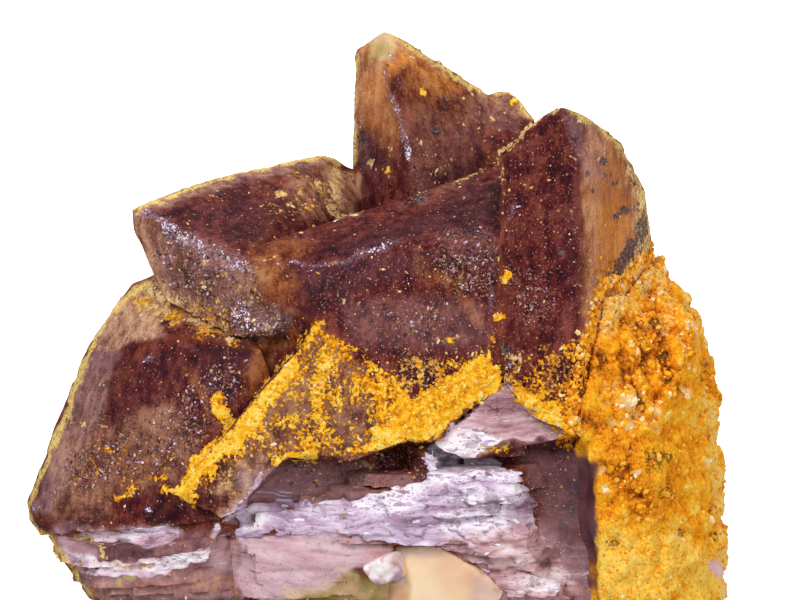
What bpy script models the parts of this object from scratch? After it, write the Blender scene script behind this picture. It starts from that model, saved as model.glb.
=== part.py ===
"""A cluster of dark rontgenite crystals, 5 mm wide, with an ochre crust on one flank.

+Z is up, -Y is the front and +X is the viewer's right. The specimen rests on the flat cut at z = 0.
Every length below is in millimetres, and MM turns it into metres.
"""

import math
import random

import bmesh
import bpy
from mathutils import Euler, Matrix, Vector, noise

MM = 0.001
CUT_LEVEL = 0.0                # the sawn face that the specimen rests on
SAW_BLOCK = (8.0, 8.0, 2.0)    # the block that is sawn away below it
MATRIX_GAP = 0.02              # clear gap between the crystals and the matrix in their notch
CRUST_GAP = 0.04               # clear gap between the crystals and the crust that grows on them

CRYSTAL_COLOUR, CRYSTAL_ROUGHNESS = (0.16, 0.055, 0.045), 0.28
CRUST_COLOUR, CRUST_ROUGHNESS = (0.72, 0.32, 0.03), 0.85
MATRIX_COLOUR, MATRIX_ROUGHNESS = (0.86, 0.70, 0.50), 0.6

# Each sort of random detail has a seed of its own, so one can change without the others.
CRYSTAL_SEED, CRUST_SEED, CHIP_SEED = 11, 23, 5

# ---------------------------------------------------------------------------------------------
# Corners of the crystals: x to the right, y away from the viewer, z up
# ---------------------------------------------------------------------------------------------

# The upright spike: a blunt tip, a left shoulder, and one edge that runs down its front.
SPIKE = [
    (0.03, 0.40, 3.97), (0.14, 0.45, 3.91), (-0.17, 0.50, 3.82), (-0.18, 0.50, 3.68),
    (-0.16, 0.50, 3.22), (-0.19, 0.50, 2.94), (-0.22, 0.50, 2.20), (0.05, 0.18, 3.76),
    (0.22, -0.06, 3.07), (0.30, -0.20, 2.50), (0.28, 0.55, 3.76), (0.45, 0.65, 3.65),
    (0.60, 0.75, 3.54), (0.71, 0.80, 3.47), (0.91, 0.50, 2.70), (0.05, 0.85, 3.72),
    (-0.10, 1.05, 3.25), (0.60, 1.15, 3.15), (-0.20, 1.20, 2.10), (0.95, 1.20, 2.10),
    (1.02, 0.78, 3.30), (1.08, 0.55, 2.90),
]

# The low shoulder that the spike's right face runs into.
SHOULDER = [
    (0.69, 0.79, 3.42), (0.84, 0.74, 3.48), (0.91, 0.74, 3.48), (0.99, 0.71, 3.42),
    (1.10, 0.69, 3.29), (0.74, 0.42, 3.18), (0.84, 0.25, 2.97), (1.15, 0.55, 3.20),
    (1.20, 0.40, 2.50), (0.60, 0.30, 2.50), (0.85, 1.15, 3.25), (1.15, 1.10, 2.95),
    (0.80, 1.30, 2.20), (1.25, 1.20, 2.20),
]

# The upper-left block, whose point hangs out over the left crystal.
UPPER_LEFT = [
    (-1.74, -0.30, 2.80), (-1.37, -0.05, 2.92), (-1.02, 0.15, 2.99), (-0.39, 0.50, 3.07),
    (-0.22, 0.56, 2.97), (-0.10, 0.62, 2.90), (-1.40, -0.62, 2.70), (-0.91, -0.80, 2.57),
    (-1.73, -0.32, 2.66), (-1.58, -0.25, 2.33), (-1.50, -0.50, 2.19), (-1.00, -0.85, 2.00),
    (-0.56, -0.95, 2.10),
    (-1.50, 0.45, 2.55), (-0.90, 0.90, 2.70), (-0.30, 1.05, 2.70), (-1.30, 0.70, 1.80),
    (-0.30, 1.05, 1.80), (-0.30, -0.60, 1.90),
]

# The central wedge: its tip points left, a bright edge parts its top from its front.
CENTRAL = [
    (-0.90, -0.75, 2.58), (-0.80, -0.62, 2.62), (-0.52, -0.45, 2.65), (0.15, -0.20, 2.86),
    (0.52, -0.05, 2.94), (0.96, 0.02, 3.10), (-0.83, -0.85, 2.52), (-0.24, -1.00, 2.54),
    (0.49, -1.02, 2.71), (0.84, -1.00, 2.66), (-0.83, -0.90, 2.26), (-0.46, -1.12, 2.15),
    (0.14, -1.28, 1.33), (0.38, -1.23, 1.34), (0.85, -1.07, 1.73), (-0.50, -0.70, 1.90),
    (-0.10, -0.80, 1.20), (0.40, -0.60, 1.10), (0.90, -0.40, 1.60), (-0.60, 0.60, 2.30),
    (0.95, 0.70, 2.80), (0.96, -0.70, 2.70),
]

# The ochre pyramid: one broad face in front, from its apex down to the broken hem.
PYRAMID = [
    (-0.46, -1.12, 2.15), (-0.59, -1.09, 1.85), (-0.65, -1.21, 1.21), (-0.19, -1.27, 1.20),
    (0.05, -1.28, 1.28), (0.14, -1.28, 1.33), (-0.30, -0.50, 2.00), (-0.80, -0.60, 1.80),
    (-0.60, -0.60, 1.05), (0.00, -0.60, 1.10),
]

# The flap of the same face that reaches down to the left.
PYRAMID_FLAP = [
    (-0.52, -1.12, 2.00), (-1.41, -1.10, 0.93), (-1.11, -1.14, 0.76), (-1.04, -1.16, 0.80),
    (-0.65, -1.21, 1.21), (-1.20, -0.80, 0.85), (-0.60, -0.80, 1.10), (-0.60, -0.80, 1.90),
]

# The big left crystal, from its sharp lower-left corner to the valley beside the central wedge.
LEFT = [
    (-1.58, -0.10, 2.31), (-1.75, -0.10, 2.24), (-1.85, -0.10, 2.12), (-2.07, -0.15, 1.80),
    (-2.14, -0.20, 1.52), (-2.24, -0.22, 1.28), (-2.34, -0.25, 0.99), (-2.50, -0.25, 0.70),
    (-2.48, -0.25, 0.57), (-2.39, -0.30, 0.47), (-1.61, -0.62, 1.96), (-1.92, -0.62, 1.50),
    (-2.18, -0.62, 0.86), (-2.22, -0.60, 0.57), (-1.15, -0.82, 1.98), (-0.83, -0.92, 1.91),
    (-1.40, -1.08, 0.93), (-1.11, -1.06, 0.74), (-1.61, -1.02, 0.66), (-0.60, -0.90, 1.20),
    (-2.13, -0.75, 0.59), (-0.70, -0.80, 1.10), (-1.00, -0.80, 0.50), (-1.60, 0.70, 2.00),
    (-2.00, 0.80, 1.40), (-2.25, 0.60, 0.60), (-1.40, 1.20, 0.50), (-0.80, 1.10, 1.90),
]

# The right prism: one long upright edge stands nearest the viewer.
RIGHT = [
    (0.85, -0.85, 3.25), (0.97, -0.85, 3.41), (1.10, -0.85, 3.53), (1.23, -0.90, 3.62),
    (1.32, -1.00, 3.62), (1.40, -1.08, 3.60), (1.51, -0.95, 3.50), (1.68, -0.60, 3.33),
    (1.86, -0.30, 2.94), (1.90, -0.20, 2.65), (1.96, -0.10, 2.12), (1.41, -1.27, 1.37),
    (0.87, -1.12, 1.72), (1.05, -1.18, 1.49), (1.23, -1.22, 1.42), (0.82, -1.02, 2.21),
    (1.30, 0.45, 3.25), (1.62, 0.50, 2.90), (1.86, 0.40, 2.40), (1.80, 0.90, 1.50),
    (0.90, 0.60, 3.00), (0.90, -0.60, 1.55), (1.45, -0.70, 1.20), (1.90, 0.40, 1.00),
    (1.00, 0.80, 1.00),
]

# The heart of the cluster, where the crystals have grown through each other; nothing of it shows.
HEART = [
    (-1.70, -0.50, 0.0), (-1.00, -0.85, 0.0), (1.30, -0.85, 0.0), (1.80, 0.00, 0.0),
    (1.50, 1.00, 0.0), (0.30, 1.30, 0.0), (-1.30, 1.20, 0.0), (-1.75, 0.60, 0.0),
    (-1.50, -0.50, 1.50), (-0.70, -0.85, 1.45), (1.20, -0.88, 1.50), (1.75, 0.00, 1.50),
    (1.55, 0.80, 1.50), (0.40, 1.25, 1.80), (-0.90, 1.00, 1.50), (-1.50, 0.60, 1.50),
    (-1.05, -0.15, 2.40), (-0.45, -0.60, 2.30), (0.80, -0.75, 2.45), (1.35, -0.50, 2.60),
    (1.45, 0.35, 2.60), (0.90, 0.90, 2.70), (0.00, 0.90, 2.70), (-0.80, 0.75, 2.40),
    (0.05, 1.12, 2.25), (-0.60, 1.04, 2.16), (-0.95, -0.70, 2.20),
]

# The broken foot under the right prism, set back behind the crystals that overhang it.
FOOT_RIGHT = [
    (0.60, -0.95, 1.30), (1.42, -1.00, 1.40), (1.95, 0.10, 1.40), (1.60, 1.00, 1.60),
    (0.60, 1.05, 1.60), (0.55, -1.00, 0.0), (1.52, -1.05, 0.0), (2.05, 0.10, 0.0),
    (1.70, 1.15, 0.0), (0.40, 1.30, 0.0),
]

# The broken middle of the foot, in the shade under the central wedge.
FOOT_MIDDLE = [
    (-0.95, -0.92, 1.15), (0.50, -0.94, 1.35), (0.75, -0.60, 1.50), (-1.20, -0.95, 0.0),
    (0.60, -1.00, 0.0), (-1.85, -0.50, 0.0), (-2.00, 0.05, 0.0), (-1.85, 0.80, 0.0),
    (-1.00, 1.30, 0.0), (0.50, 1.45, 0.0), (-1.40, 0.90, 1.60), (0.50, 1.25, 2.20),
    (-0.60, 1.10, 2.10),
]

# The undercut foot of the left crystal.
FOOT_LEFT = [
    (-2.36, -0.30, 0.46), (-2.10, -0.68, 0.56), (-1.60, -0.98, 0.62), (-1.00, -1.06, 0.72),
    (-2.06, -0.25, 0.0), (-1.90, -0.60, 0.0), (-1.50, -0.92, 0.0), (-0.92, -1.02, 0.0),
    (-2.22, 0.50, 0.55), (-1.92, 0.60, 0.0), (-0.90, 0.50, 0.80),
]

# The step of silky lilac matter that shows between the central wedge and the right prism.
LILAC_STEP = [
    (0.87, -1.09, 1.71), (0.38, -1.16, 1.29), (0.60, -1.17, 1.18), (0.92, -1.13, 1.27),
    (1.38, -1.14, 1.36), (0.90, -0.60, 1.60), (0.50, -0.60, 1.20), (1.30, -0.60, 1.30),
]

# A small dark facet at the left end of that step.
DARK_FACET = [
    (0.19, -1.05, 1.27), (0.37, -1.19, 1.22), (0.36, -1.19, 1.09), (0.22, -1.05, 1.02),
    (0.19, -0.80, 1.20), (0.45, -0.80, 1.10),
]

# The mauve broken face at the bottom, left of the pale notch.
MAUVE_STEP = [
    (-1.05, -1.10, 0.66), (-0.20, -1.27, 0.66), (0.10, -1.27, 0.60), (-1.00, -1.06, 0.0),
    (0.06, -1.24, 0.0), (-1.00, -0.70, 0.70), (0.10, -0.70, 0.60), (0.10, -0.70, 0.0),
]

# Three crystals that close the back of the cluster, lower than the front ones.
BACK_LEFT = [
    (-1.15, 0.75, 2.72), (-0.95, 0.95, 2.66), (-1.60, 0.75, 1.95), (-0.60, 1.10, 2.30),
    (-1.30, 1.30, 1.40), (-1.75, 1.05, 0.90), (-1.85, 0.90, 0.0), (-1.30, 1.48, 0.0),
    (-0.35, 1.45, 0.0), (-0.30, 1.40, 1.50), (-0.70, 0.40, 2.40), (-0.80, 0.30, 0.6),
]
BACK_MIDDLE = [
    (-0.25, 1.15, 2.40), (-0.05, 1.25, 2.34), (-0.60, 1.20, 1.60), (0.25, 1.35, 1.80),
    (-0.45, 1.62, 0.95), (0.15, 1.66, 1.00), (-0.75, 1.40, 0.0), (-0.50, 1.66, 0.0),
    (0.30, 1.68, 0.0), (0.55, 1.30, 0.0), (-0.10, 0.60, 2.20), (0.0, 0.60, 0.4),
]
BACK_RIGHT = [
    (0.75, 1.00, 3.02), (0.95, 1.20, 2.88), (0.30, 1.20, 2.70), (1.35, 0.95, 2.55),
    (0.40, 1.60, 1.70), (1.10, 1.55, 1.60), (1.65, 1.10, 1.50), (0.10, 1.55, 0.0),
    (1.20, 1.62, 0.0), (1.80, 1.10, 0.0), (0.0, 1.20, 1.90), (0.60, 0.40, 2.6),
]

CRYSTALS = {
    "spike": SPIKE, "shoulder": SHOULDER, "upper_left": UPPER_LEFT, "central": CENTRAL,
    "left": LEFT, "right": RIGHT, "heart": HEART, "foot_right": FOOT_RIGHT,
    "foot_left": FOOT_LEFT, "pyramid": PYRAMID, "pyramid_flap": PYRAMID_FLAP,
    "lilac_step": LILAC_STEP, "dark_facet": DARK_FACET, "mauve_step": MAUVE_STEP,
    "back_left": BACK_LEFT, "back_middle": BACK_MIDDLE, "back_right": BACK_RIGHT,
}

# The crust: outer corners, then the wedge-shaped front edge, then the back.
CRUST = [
    (1.98, -0.05, 2.42), (2.14, -0.05, 2.20), (2.26, -0.10, 1.96),
    (2.35, -0.15, 1.62), (2.35, -0.20, 1.00), (2.43, -0.20, 0.58), (2.46, -0.20, 0.0),
    (1.56, -0.95, 2.25), (1.45, -1.27, 1.60), (1.46, -1.31, 1.20), (1.56, -1.30, 0.0),
    (1.85, -1.20, 1.25), (1.95, -1.15, 0.0), (2.15, -0.62, 1.90), (2.25, -0.80, 0.0),
    (2.20, 0.75, 1.60), (2.34, 0.70, 0.0), (1.95, 1.12, 0.0), (1.85, 0.95, 1.50),
    (1.86, 0.45, 2.10), (1.30, -0.60, 1.80), (1.40, 0.60, 1.20), (1.40, 0.60, 0.0),
    (1.40, -0.60, 0.0),
]

# The pale matrix in the notch, and its tooth-shaped grain.
MATRIX = [
    (0.11, -1.22, 0.56), (0.42, -1.25, 0.57), (0.76, -1.22, 0.34), (0.92, -1.17, 0.18),
    (0.97, -1.14, 0.0), (0.09, -1.24, 0.0), (0.12, -0.80, 0.50), (0.80, -0.80, 0.30),
    (0.80, -0.80, 0.0), (0.12, -0.80, 0.0),
]
MATRIX_TOOTH = [
    (0.08, -1.37, 0.55), (0.14, -1.31, 0.40), (-0.03, -1.37, 0.35), (-0.11, -1.34, 0.45),
    (0.00, -1.37, 0.51), (0.22, -1.10, 0.52), (0.22, -1.10, 0.36), (-0.06, -1.14, 0.44),
]

# ---------------------------------------------------------------------------------------------
# Plates, bands, grains and pits
# ---------------------------------------------------------------------------------------------

PLATE_SIDES = 13
PLATE_TAPER = 0.97             # width of a plate's upper face, as a share of its lower one
PLATE_ROUGHNESS = 0.05         # share of a plate's radius that its broken outline wanders by
PLATE_STEP = 0.035             # how far one plate's edge stands behind or before the next
PLATE_OVERLAP = 1.35           # a plate's thickness, as a share of the distance to the next one
PLATE_SQUARENESS = 3.0         # 2 gives a round outline, more a squarer one
PLATE_PITCH = 3.0              # degrees that a plate may lean forwards or back
PLATE_ROLL = 1.5               # degrees that its tilt may differ from its stack's

# Each stack runs from its lowest plate to its highest: number of plates, then for both ends the
# middle, the half width and half depth, and the tilt in degrees (plus lifts the right end).
STACKS = {
    "lamella": (9, ((0.10, -0.82, 0.68), 1.00, 0.52, -1.0), ((0.48, -0.82, 1.05), 0.62, 0.50, 4.0)),
    "dipping_lamella": (6, ((1.06, -0.76, 0.14), 0.36, 0.40, -24.0),
                        ((0.66, -0.82, 0.64), 0.52, 0.47, -8.0)),
    "lilac_plate": (4, ((0.76, -0.74, 1.24), 0.36, 0.41, 3.0), ((0.86, -0.74, 1.52), 0.16, 0.38, 0.0)),
    "mauve_plate": (6, ((-0.47, -0.78, 0.08), 0.54, 0.49, 4.0), ((-0.46, -0.78, 0.58), 0.58, 0.51, 0.0)),
    "foot_plate": (6, ((-1.32, -0.50, 0.08), 0.66, 0.54, -2.0), ((-1.46, -0.50, 0.54), 0.80, 0.61, 6.0)),
}

# Growth bands: crystal, direction, low and high limit along it, and how far they stand proud
BANDS = {
    "back_left_band_1": (BACK_LEFT, (0.15, 0.1, 1.0), 1.30, 1.62, 0.016),
    "back_left_band_2": (BACK_LEFT, (0.15, 0.1, 1.0), 2.05, 2.20, 0.014),
    "back_middle_band_1": (BACK_MIDDLE, (-0.1, 0.1, 1.0), 0.60, 1.05, 0.018),
    "back_middle_band_2": (BACK_MIDDLE, (-0.1, 0.1, 1.0), 1.55, 1.75, 0.015),
    "back_right_band_1": (BACK_RIGHT, (-0.2, 0.1, 1.0), 2.15, 2.40, 0.016),
    "back_right_band_2": (BACK_RIGHT, (-0.2, 0.1, 1.0), 1.50, 1.62, 0.014),
    "back_right_band_3": (BACK_RIGHT, (-0.2, 0.1, 1.0), 0.70, 1.15, 0.018),
}

# Chipped edges: start, end, how many scoops, and their half length and depth
CHIPPED_EDGES = {
    "spike_front": ((0.05, 0.18, 3.76), (0.22, -0.06, 3.07), 2, 0.10, 0.020),
    "spike_slope": ((0.28, 0.55, 3.76), (0.71, 0.80, 3.47), 2, 0.07, 0.030),
    "upper_left_rim": ((-1.40, -0.62, 2.70), (-0.93, -0.80, 2.58), 2, 0.10, 0.030),
    "wedge_edge": ((-0.24, -1.00, 2.54), (0.49, -1.02, 2.71), 3, 0.09, 0.025),
    "right_upright": ((1.40, -1.08, 3.50), (1.41, -1.27, 1.50), 4, 0.14, 0.022),
    "right_crown": ((1.51, -0.95, 3.50), (1.68, -0.60, 3.33), 1, 0.10, 0.035),
    "wedge_hem": ((0.14, -1.28, 1.33), (0.38, -1.23, 1.34), 1, 0.08, 0.035),
    "pyramid_hem": ((-0.65, -1.21, 1.21), (-0.19, -1.27, 1.20), 2, 0.08, 0.035),
}

CHIP_LENGTHS = (0.6, 1.3)      # a scoop's length, as shares of the one listed
CHIP_PLACES = (0.25, 0.75)     # where it may lie in its share of the edge

GRAIN_HEIGHT = 0.55            # a grain's height, as a share of its width
GRAIN_SINK = 0.12              # how deep its middle lies under the face, as a share of its width
GRAIN_UNEVENNESS = 0.12        # how far its corners are off, as a share of its width
GRAIN_LENGTHS, GRAIN_WIDTHS = (0.8, 1.4), (0.7, 1.0)
GRAIN_LEAN = 0.3               # radians that it may lean off its face
LUMP_RADIUS = 0.6              # a lump's radius, as a share of its size

# Grains on the crystals: three corners of a face, how many, smallest and largest size, and shape
GRAINS = {
    "sparkling_grain": (((-1.50, -0.52, 2.60), (-1.00, -0.86, 2.06), (-0.74, -0.92, 2.40)),
                        26, 0.06, 0.13, "crystal"),
    "ochre_grain": (((-0.46, -1.13, 2.06), (-0.60, -1.20, 1.28), (0.06, -1.27, 1.38)),
                    14, 0.10, 0.18, "lump"),
    "streak_grain": (((-0.60, -1.10, 1.84), (-1.36, -1.10, 0.96), (-0.92, -1.16, 1.10)),
                     14, 0.10, 0.18, "lump"),
    "shelf_grain": (((0.18, -1.25, 1.45), (0.82, -1.08, 1.78), (0.36, -1.18, 1.66)),
                    8, 0.08, 0.15, "lump"),
}

# The same for the nodules on the crust
NODULES = {
    "nodule_1": (((2.13, -0.62, 1.95), (2.30, -0.30, 0.90), (1.85, -1.18, 1.25)),
                 6, 0.16, 0.34, "lump"),
    "nodule_2": (((1.90, -1.17, 0.90), (2.28, -0.70, 0.10), (2.32, -0.30, 1.20)),
                 6, 0.16, 0.34, "lump"),
    "nodule_3": (((2.30, 0.10, 1.80), (2.36, 0.50, 0.20), (2.10, 0.80, 1.40)),
                 6, 0.16, 0.34, "lump"),
}

CRUST_EDGE = 0.16              # longest edge of the crust's lumpy skin
CRUST_PASSES = 6               # at most so many rounds of division reach it
CRUST_LUMP = 0.055             # how far its lumps rise and its hollows sink
CRUST_SPACING = 0.30           # distance from lump to lump
CRUST_FINER = 2.4              # how many times finer the small lumps are
CRUST_FINE_SHARE = 0.5         # and how high, as a share of the large ones

# Pits in the crust's rim: middle, and half size each way
RIM_PITS = [
    ((1.98, -1.02, 2.02), (0.035, 0.10, 0.09)), ((2.02, -0.98, 1.72), (0.04, 0.12, 0.07)),
    ((2.08, -0.92, 1.62), (0.03, 0.10, 0.11)), ((1.84, -1.18, 1.50), (0.05, 0.09, 0.12)),
]


# ---------------------------------------------------------------------------------------------
# Building helpers
# ---------------------------------------------------------------------------------------------

def clear_scene():
    for thing in list(bpy.data.objects):
        bpy.data.objects.remove(thing, do_unlink=True)


def new_collection(name):
    collection = bpy.data.collections.new(name)
    bpy.context.scene.collection.children.link(collection)
    return collection


def finish_mesh(bm, name, collection):
    """Turn a bmesh in millimetres into an object in metres."""
    bmesh.ops.scale(bm, vec=(MM, MM, MM), verts=bm.verts)
    bmesh.ops.recalc_face_normals(bm, faces=bm.faces)
    mesh = bpy.data.meshes.new(name)
    bm.to_mesh(mesh)
    bm.free()
    thing = bpy.data.objects.new(name, mesh)
    collection.objects.link(thing)
    return thing


def wrap(bm):
    """Replace what is in the bmesh with the convex hull of its corners."""
    bmesh.ops.delete(bm, geom=list(bm.edges) + list(bm.faces), context='EDGES_FACES')
    bmesh.ops.convex_hull(bm, input=list(bm.verts))
    loose = [vert for vert in bm.verts if not vert.link_faces]
    bmesh.ops.delete(bm, geom=loose, context='VERTS')


def hull_bmesh(corners):
    bm = bmesh.new()
    for corner in corners:
        bm.verts.new(corner)
    wrap(bm)
    return bm


def hull(name, corners, collection):
    return finish_mesh(hull_bmesh(corners), name, collection)


def plate(name, middle, half_width, half_depth, thickness, tilt, collection, rng):
    """A thin cleaved plate with a broken outline."""
    bm = bmesh.new()
    bmesh.ops.create_cone(bm, cap_ends=True, segments=PLATE_SIDES, radius1=1.0,
                          radius2=PLATE_TAPER, depth=1.0)
    reach = {}
    for vert in bm.verts:
        angle = round(math.atan2(vert.co.y, vert.co.x), 3)
        if angle not in reach:
            bulge = (abs(math.cos(angle)) ** PLATE_SQUARENESS
                     + abs(math.sin(angle)) ** PLATE_SQUARENESS) ** (-1.0 / PLATE_SQUARENESS)
            reach[angle] = bulge * (1.0 + rng.uniform(-PLATE_ROUGHNESS, PLATE_ROUGHNESS))
        vert.co.x *= reach[angle] * half_width
        vert.co.y *= reach[angle] * half_depth
        vert.co.z *= thickness
    pitch = rng.uniform(-PLATE_PITCH, PLATE_PITCH)
    turn = Euler((math.radians(pitch), -math.radians(tilt), 0.0)).to_matrix()
    bmesh.ops.rotate(bm, cent=(0, 0, 0), matrix=turn, verts=bm.verts)
    bmesh.ops.translate(bm, vec=middle, verts=bm.verts)
    wrap(bm)
    return finish_mesh(bm, name, collection)


def mix(first, second, share):
    return first + (second - first) * share


def stack(name, count, lowest, highest, collection, rng):
    """Plates of one crystal that has parted along its layers, lying tight on each other."""
    spacing = (Vector(highest[0]) - Vector(lowest[0])).length / (count - 1)
    for index in range(count):
        share = index / (count - 1)
        middle = mix(Vector(lowest[0]), Vector(highest[0]), share)
        half_width = mix(lowest[1], highest[1], share) + rng.uniform(-2.0, 2.0) * PLATE_STEP
        half_depth = mix(lowest[2], highest[2], share) + rng.uniform(-1.0, 1.0) * PLATE_STEP
        tilt = mix(lowest[3], highest[3], share) + rng.uniform(-PLATE_ROLL, PLATE_ROLL)
        plate(f"{name}_{index + 1}", middle, half_width, half_depth, spacing * PLATE_OVERLAP, tilt,
              collection, rng)


def growth_band(name, corners, direction, low, high, proud, collection):
    """A slice of a crystal that stands a little proud of its faces, as a growth step."""
    bm = hull_bmesh(corners)
    axis = Vector(direction).normalized()
    for limit, side in ((low, "inner"), (high, "outer")):
        bmesh.ops.bisect_plane(bm, geom=list(bm.verts) + list(bm.edges) + list(bm.faces),
                               plane_co=axis * limit, plane_no=axis,
                               clear_inner=side == "inner", clear_outer=side == "outer")
    wrap(bm)
    heart = sum((vert.co for vert in bm.verts), Vector()) / len(bm.verts)
    for vert in bm.verts:
        outward = vert.co - heart
        outward -= axis * outward.dot(axis)
        vert.co += outward.normalized() * proud
    return finish_mesh(bm, name, collection)


def point_on_face(face, rng):
    """A point picked at random on a triangle, and the direction that leads off its face."""
    first, second, third = (Vector(corner) for corner in face)
    across, down = rng.random(), rng.random()
    if across + down > 1.0:
        across, down = 1.0 - across, 1.0 - down
    outward = (second - first).cross(third - first).normalized()
    middle = (first + second + third) / 3.0
    if outward.x * middle.x + outward.y * middle.y < 0.0:
        outward = -outward
    return first + (second - first) * across + (third - first) * down, outward


def grain(name, place, outward, size, kind, collection, rng):
    """One small grain set in a face: a square crystal, or a rounded lump."""
    bm = bmesh.new()
    if kind == "crystal":
        bmesh.ops.create_cube(bm, size=1.0)
    else:
        bmesh.ops.create_icosphere(bm, subdivisions=1, radius=LUMP_RADIUS)
    for vert in bm.verts:
        vert.co *= 1.0 + rng.uniform(-GRAIN_UNEVENNESS, GRAIN_UNEVENNESS)
    stretch = Vector((rng.uniform(*GRAIN_LENGTHS), rng.uniform(*GRAIN_WIDTHS), GRAIN_HEIGHT)) * size
    bmesh.ops.scale(bm, vec=stretch, verts=bm.verts)
    spin = Euler((rng.uniform(-GRAIN_LEAN, GRAIN_LEAN), rng.uniform(-GRAIN_LEAN, GRAIN_LEAN),
                  rng.uniform(-math.pi, math.pi)))
    turn = outward.to_track_quat('Z', 'Y').to_matrix() @ spin.to_matrix()
    bmesh.ops.rotate(bm, cent=(0, 0, 0), matrix=turn, verts=bm.verts)
    bmesh.ops.translate(bm, vec=place - outward * size * GRAIN_SINK, verts=bm.verts)
    wrap(bm)
    return finish_mesh(bm, name, collection)


def scatter(name, face, count, smallest, largest, kind, collection, rng):
    """Grains of one kind at random places on a face."""
    for index in range(count):
        size = rng.uniform(smallest, largest)
        place, outward = point_on_face(face, rng)
        grain(f"{name}_{index + 1}", place, outward, size, kind, collection, rng)


def scoop(name, middle, half_size, turn, collection):
    """A round-cornered cutter of that half size each way."""
    bm = bmesh.new()
    bmesh.ops.create_icosphere(bm, subdivisions=1, radius=1.0)
    bmesh.ops.scale(bm, vec=half_size, verts=bm.verts)
    bmesh.ops.rotate(bm, cent=(0, 0, 0), matrix=turn, verts=bm.verts)
    bmesh.ops.translate(bm, vec=middle, verts=bm.verts)
    finish_mesh(bm, name, collection)


def chips_along(name, start, end, count, half_length, depth, collection, rng):
    """Long shallow scoops that nick an edge at uneven places."""
    start, end = Vector(start), Vector(end)
    along = (end - start).to_track_quat('X', 'Z').to_matrix()
    for index in range(count):
        share = (index + rng.uniform(*CHIP_PLACES)) / count
        length = half_length * rng.uniform(*CHIP_LENGTHS)
        scoop(f"{name}_chip_{index + 1}", mix(start, end, share), (length, depth, depth), along,
              collection)


def below_ground(collection):
    """The block that saws everything off flat at the cut."""
    bm = bmesh.new()
    bmesh.ops.create_cube(bm, size=1.0)
    bmesh.ops.scale(bm, vec=SAW_BLOCK, verts=bm.verts)
    bmesh.ops.translate(bm, vec=(0.0, 0.0, CUT_LEVEL - SAW_BLOCK[2] / 2), verts=bm.verts)
    return finish_mesh(bm, "saw_cut", collection)


def boolean(thing, collection, operation):
    modifier = thing.modifiers.new(operation.title(), 'BOOLEAN')
    modifier.operation = operation
    modifier.operand_type = 'COLLECTION'
    modifier.collection = collection
    modifier.solver = 'EXACT'


def hide_tools(collection):
    for thing in collection.objects:
        thing.hide_render = True
        thing.display_type = 'WIRE'


def swollen_hull(name, corners, swell, collection):
    """A crystal's hull with every corner moved out by the clear gap, to cut the room it needs."""
    bm = hull_bmesh(corners)
    bmesh.ops.recalc_face_normals(bm, faces=bm.faces)
    bm.normal_update()
    for vert in bm.verts:
        vert.co += vert.normal * swell
    return finish_mesh(bm, name, collection)


# ---------------------------------------------------------------------------------------------
# Materials
# ---------------------------------------------------------------------------------------------

def material(name, colour, roughness):
    finish = bpy.data.materials.new(name)
    finish.use_nodes = True
    shader = finish.node_tree.nodes["Principled BSDF"]
    shader.inputs["Base Color"].default_value = (*colour, 1.0)
    shader.inputs["Roughness"].default_value = roughness
    shader.inputs["Metallic"].default_value = 0.0
    return finish


# ---------------------------------------------------------------------------------------------
# The pieces
# ---------------------------------------------------------------------------------------------

def build_crystals(parts, grown, pockets):
    """The crystals, which have grown through each other, as one solid."""
    rng = random.Random(CRYSTAL_SEED)
    for name, corners in CRYSTALS.items():
        hull(name, corners, grown)
    for name, (count, lowest, highest) in STACKS.items():
        stack(name, count, lowest, highest, grown, rng)
    for name, (corners, direction, low, high, proud) in BANDS.items():
        growth_band(name, corners, direction, low, high, proud, grown)
    for name, (face, *settings) in GRAINS.items():
        scatter(name, face, *settings, grown, rng)
    cluster = hull("crystal_cluster", FOOT_MIDDLE, parts)
    boolean(cluster, grown, 'UNION')
    boolean(cluster, pockets, 'DIFFERENCE')
    cluster.data.materials.append(material("dark_crystal", CRYSTAL_COLOUR, CRYSTAL_ROUGHNESS))


def build_crust(parts, seats, nodules):
    """The lumpy ochre crust on the right flank."""
    rng = random.Random(CRUST_SEED)
    for name, (face, *settings) in NODULES.items():
        scatter(name, face, *settings, nodules, rng)
    bm = hull_bmesh(CRUST)
    for _ in range(CRUST_PASSES):
        long_edges = [edge for edge in bm.edges if edge.calc_length() > CRUST_EDGE]
        if not long_edges:
            break
        bmesh.ops.subdivide_edges(bm, edges=long_edges, cuts=1)
        bmesh.ops.triangulate(bm, faces=bm.faces)
    bmesh.ops.recalc_face_normals(bm, faces=bm.faces)
    bm.normal_update()
    lifts = []
    for vert in bm.verts:
        broad = noise.noise(vert.co / CRUST_SPACING)
        fine = noise.noise(vert.co * CRUST_FINER / CRUST_SPACING)
        lifts.append(vert.normal * CRUST_LUMP * (broad + CRUST_FINE_SHARE * fine))
    for vert, lift in zip(bm.verts, lifts):
        vert.co += lift
    crust = finish_mesh(bm, "ochre_crust", parts)
    boolean(crust, nodules, 'UNION')
    boolean(crust, seats, 'DIFFERENCE')
    crust.data.materials.append(material("ochre_crust", CRUST_COLOUR, CRUST_ROUGHNESS))


def build_seats(seats):
    """What is cut from the crust: the crystals that it grows on, its pits and the saw cut."""
    for name, corners in (("right", RIGHT), ("foot_right", FOOT_RIGHT), ("back_right", BACK_RIGHT)):
        swollen_hull(f"seat_{name}", corners, CRUST_GAP, seats)
    for index, (middle, half_size) in enumerate(RIM_PITS):
        scoop(f"rim_pit_{index + 1}", middle, half_size, Matrix.Identity(3), seats)
    below_ground(seats)


def build_matrix(parts, teeth):
    """The pale matrix in the notch, one solid with its tooth-shaped grain."""
    matrix = hull("pale_matrix", MATRIX, parts)
    hull("matrix_tooth", MATRIX_TOOTH, teeth)
    boolean(matrix, teeth, 'UNION')
    matrix.data.materials.append(material("pale_matrix", MATRIX_COLOUR, MATRIX_ROUGHNESS))


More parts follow.
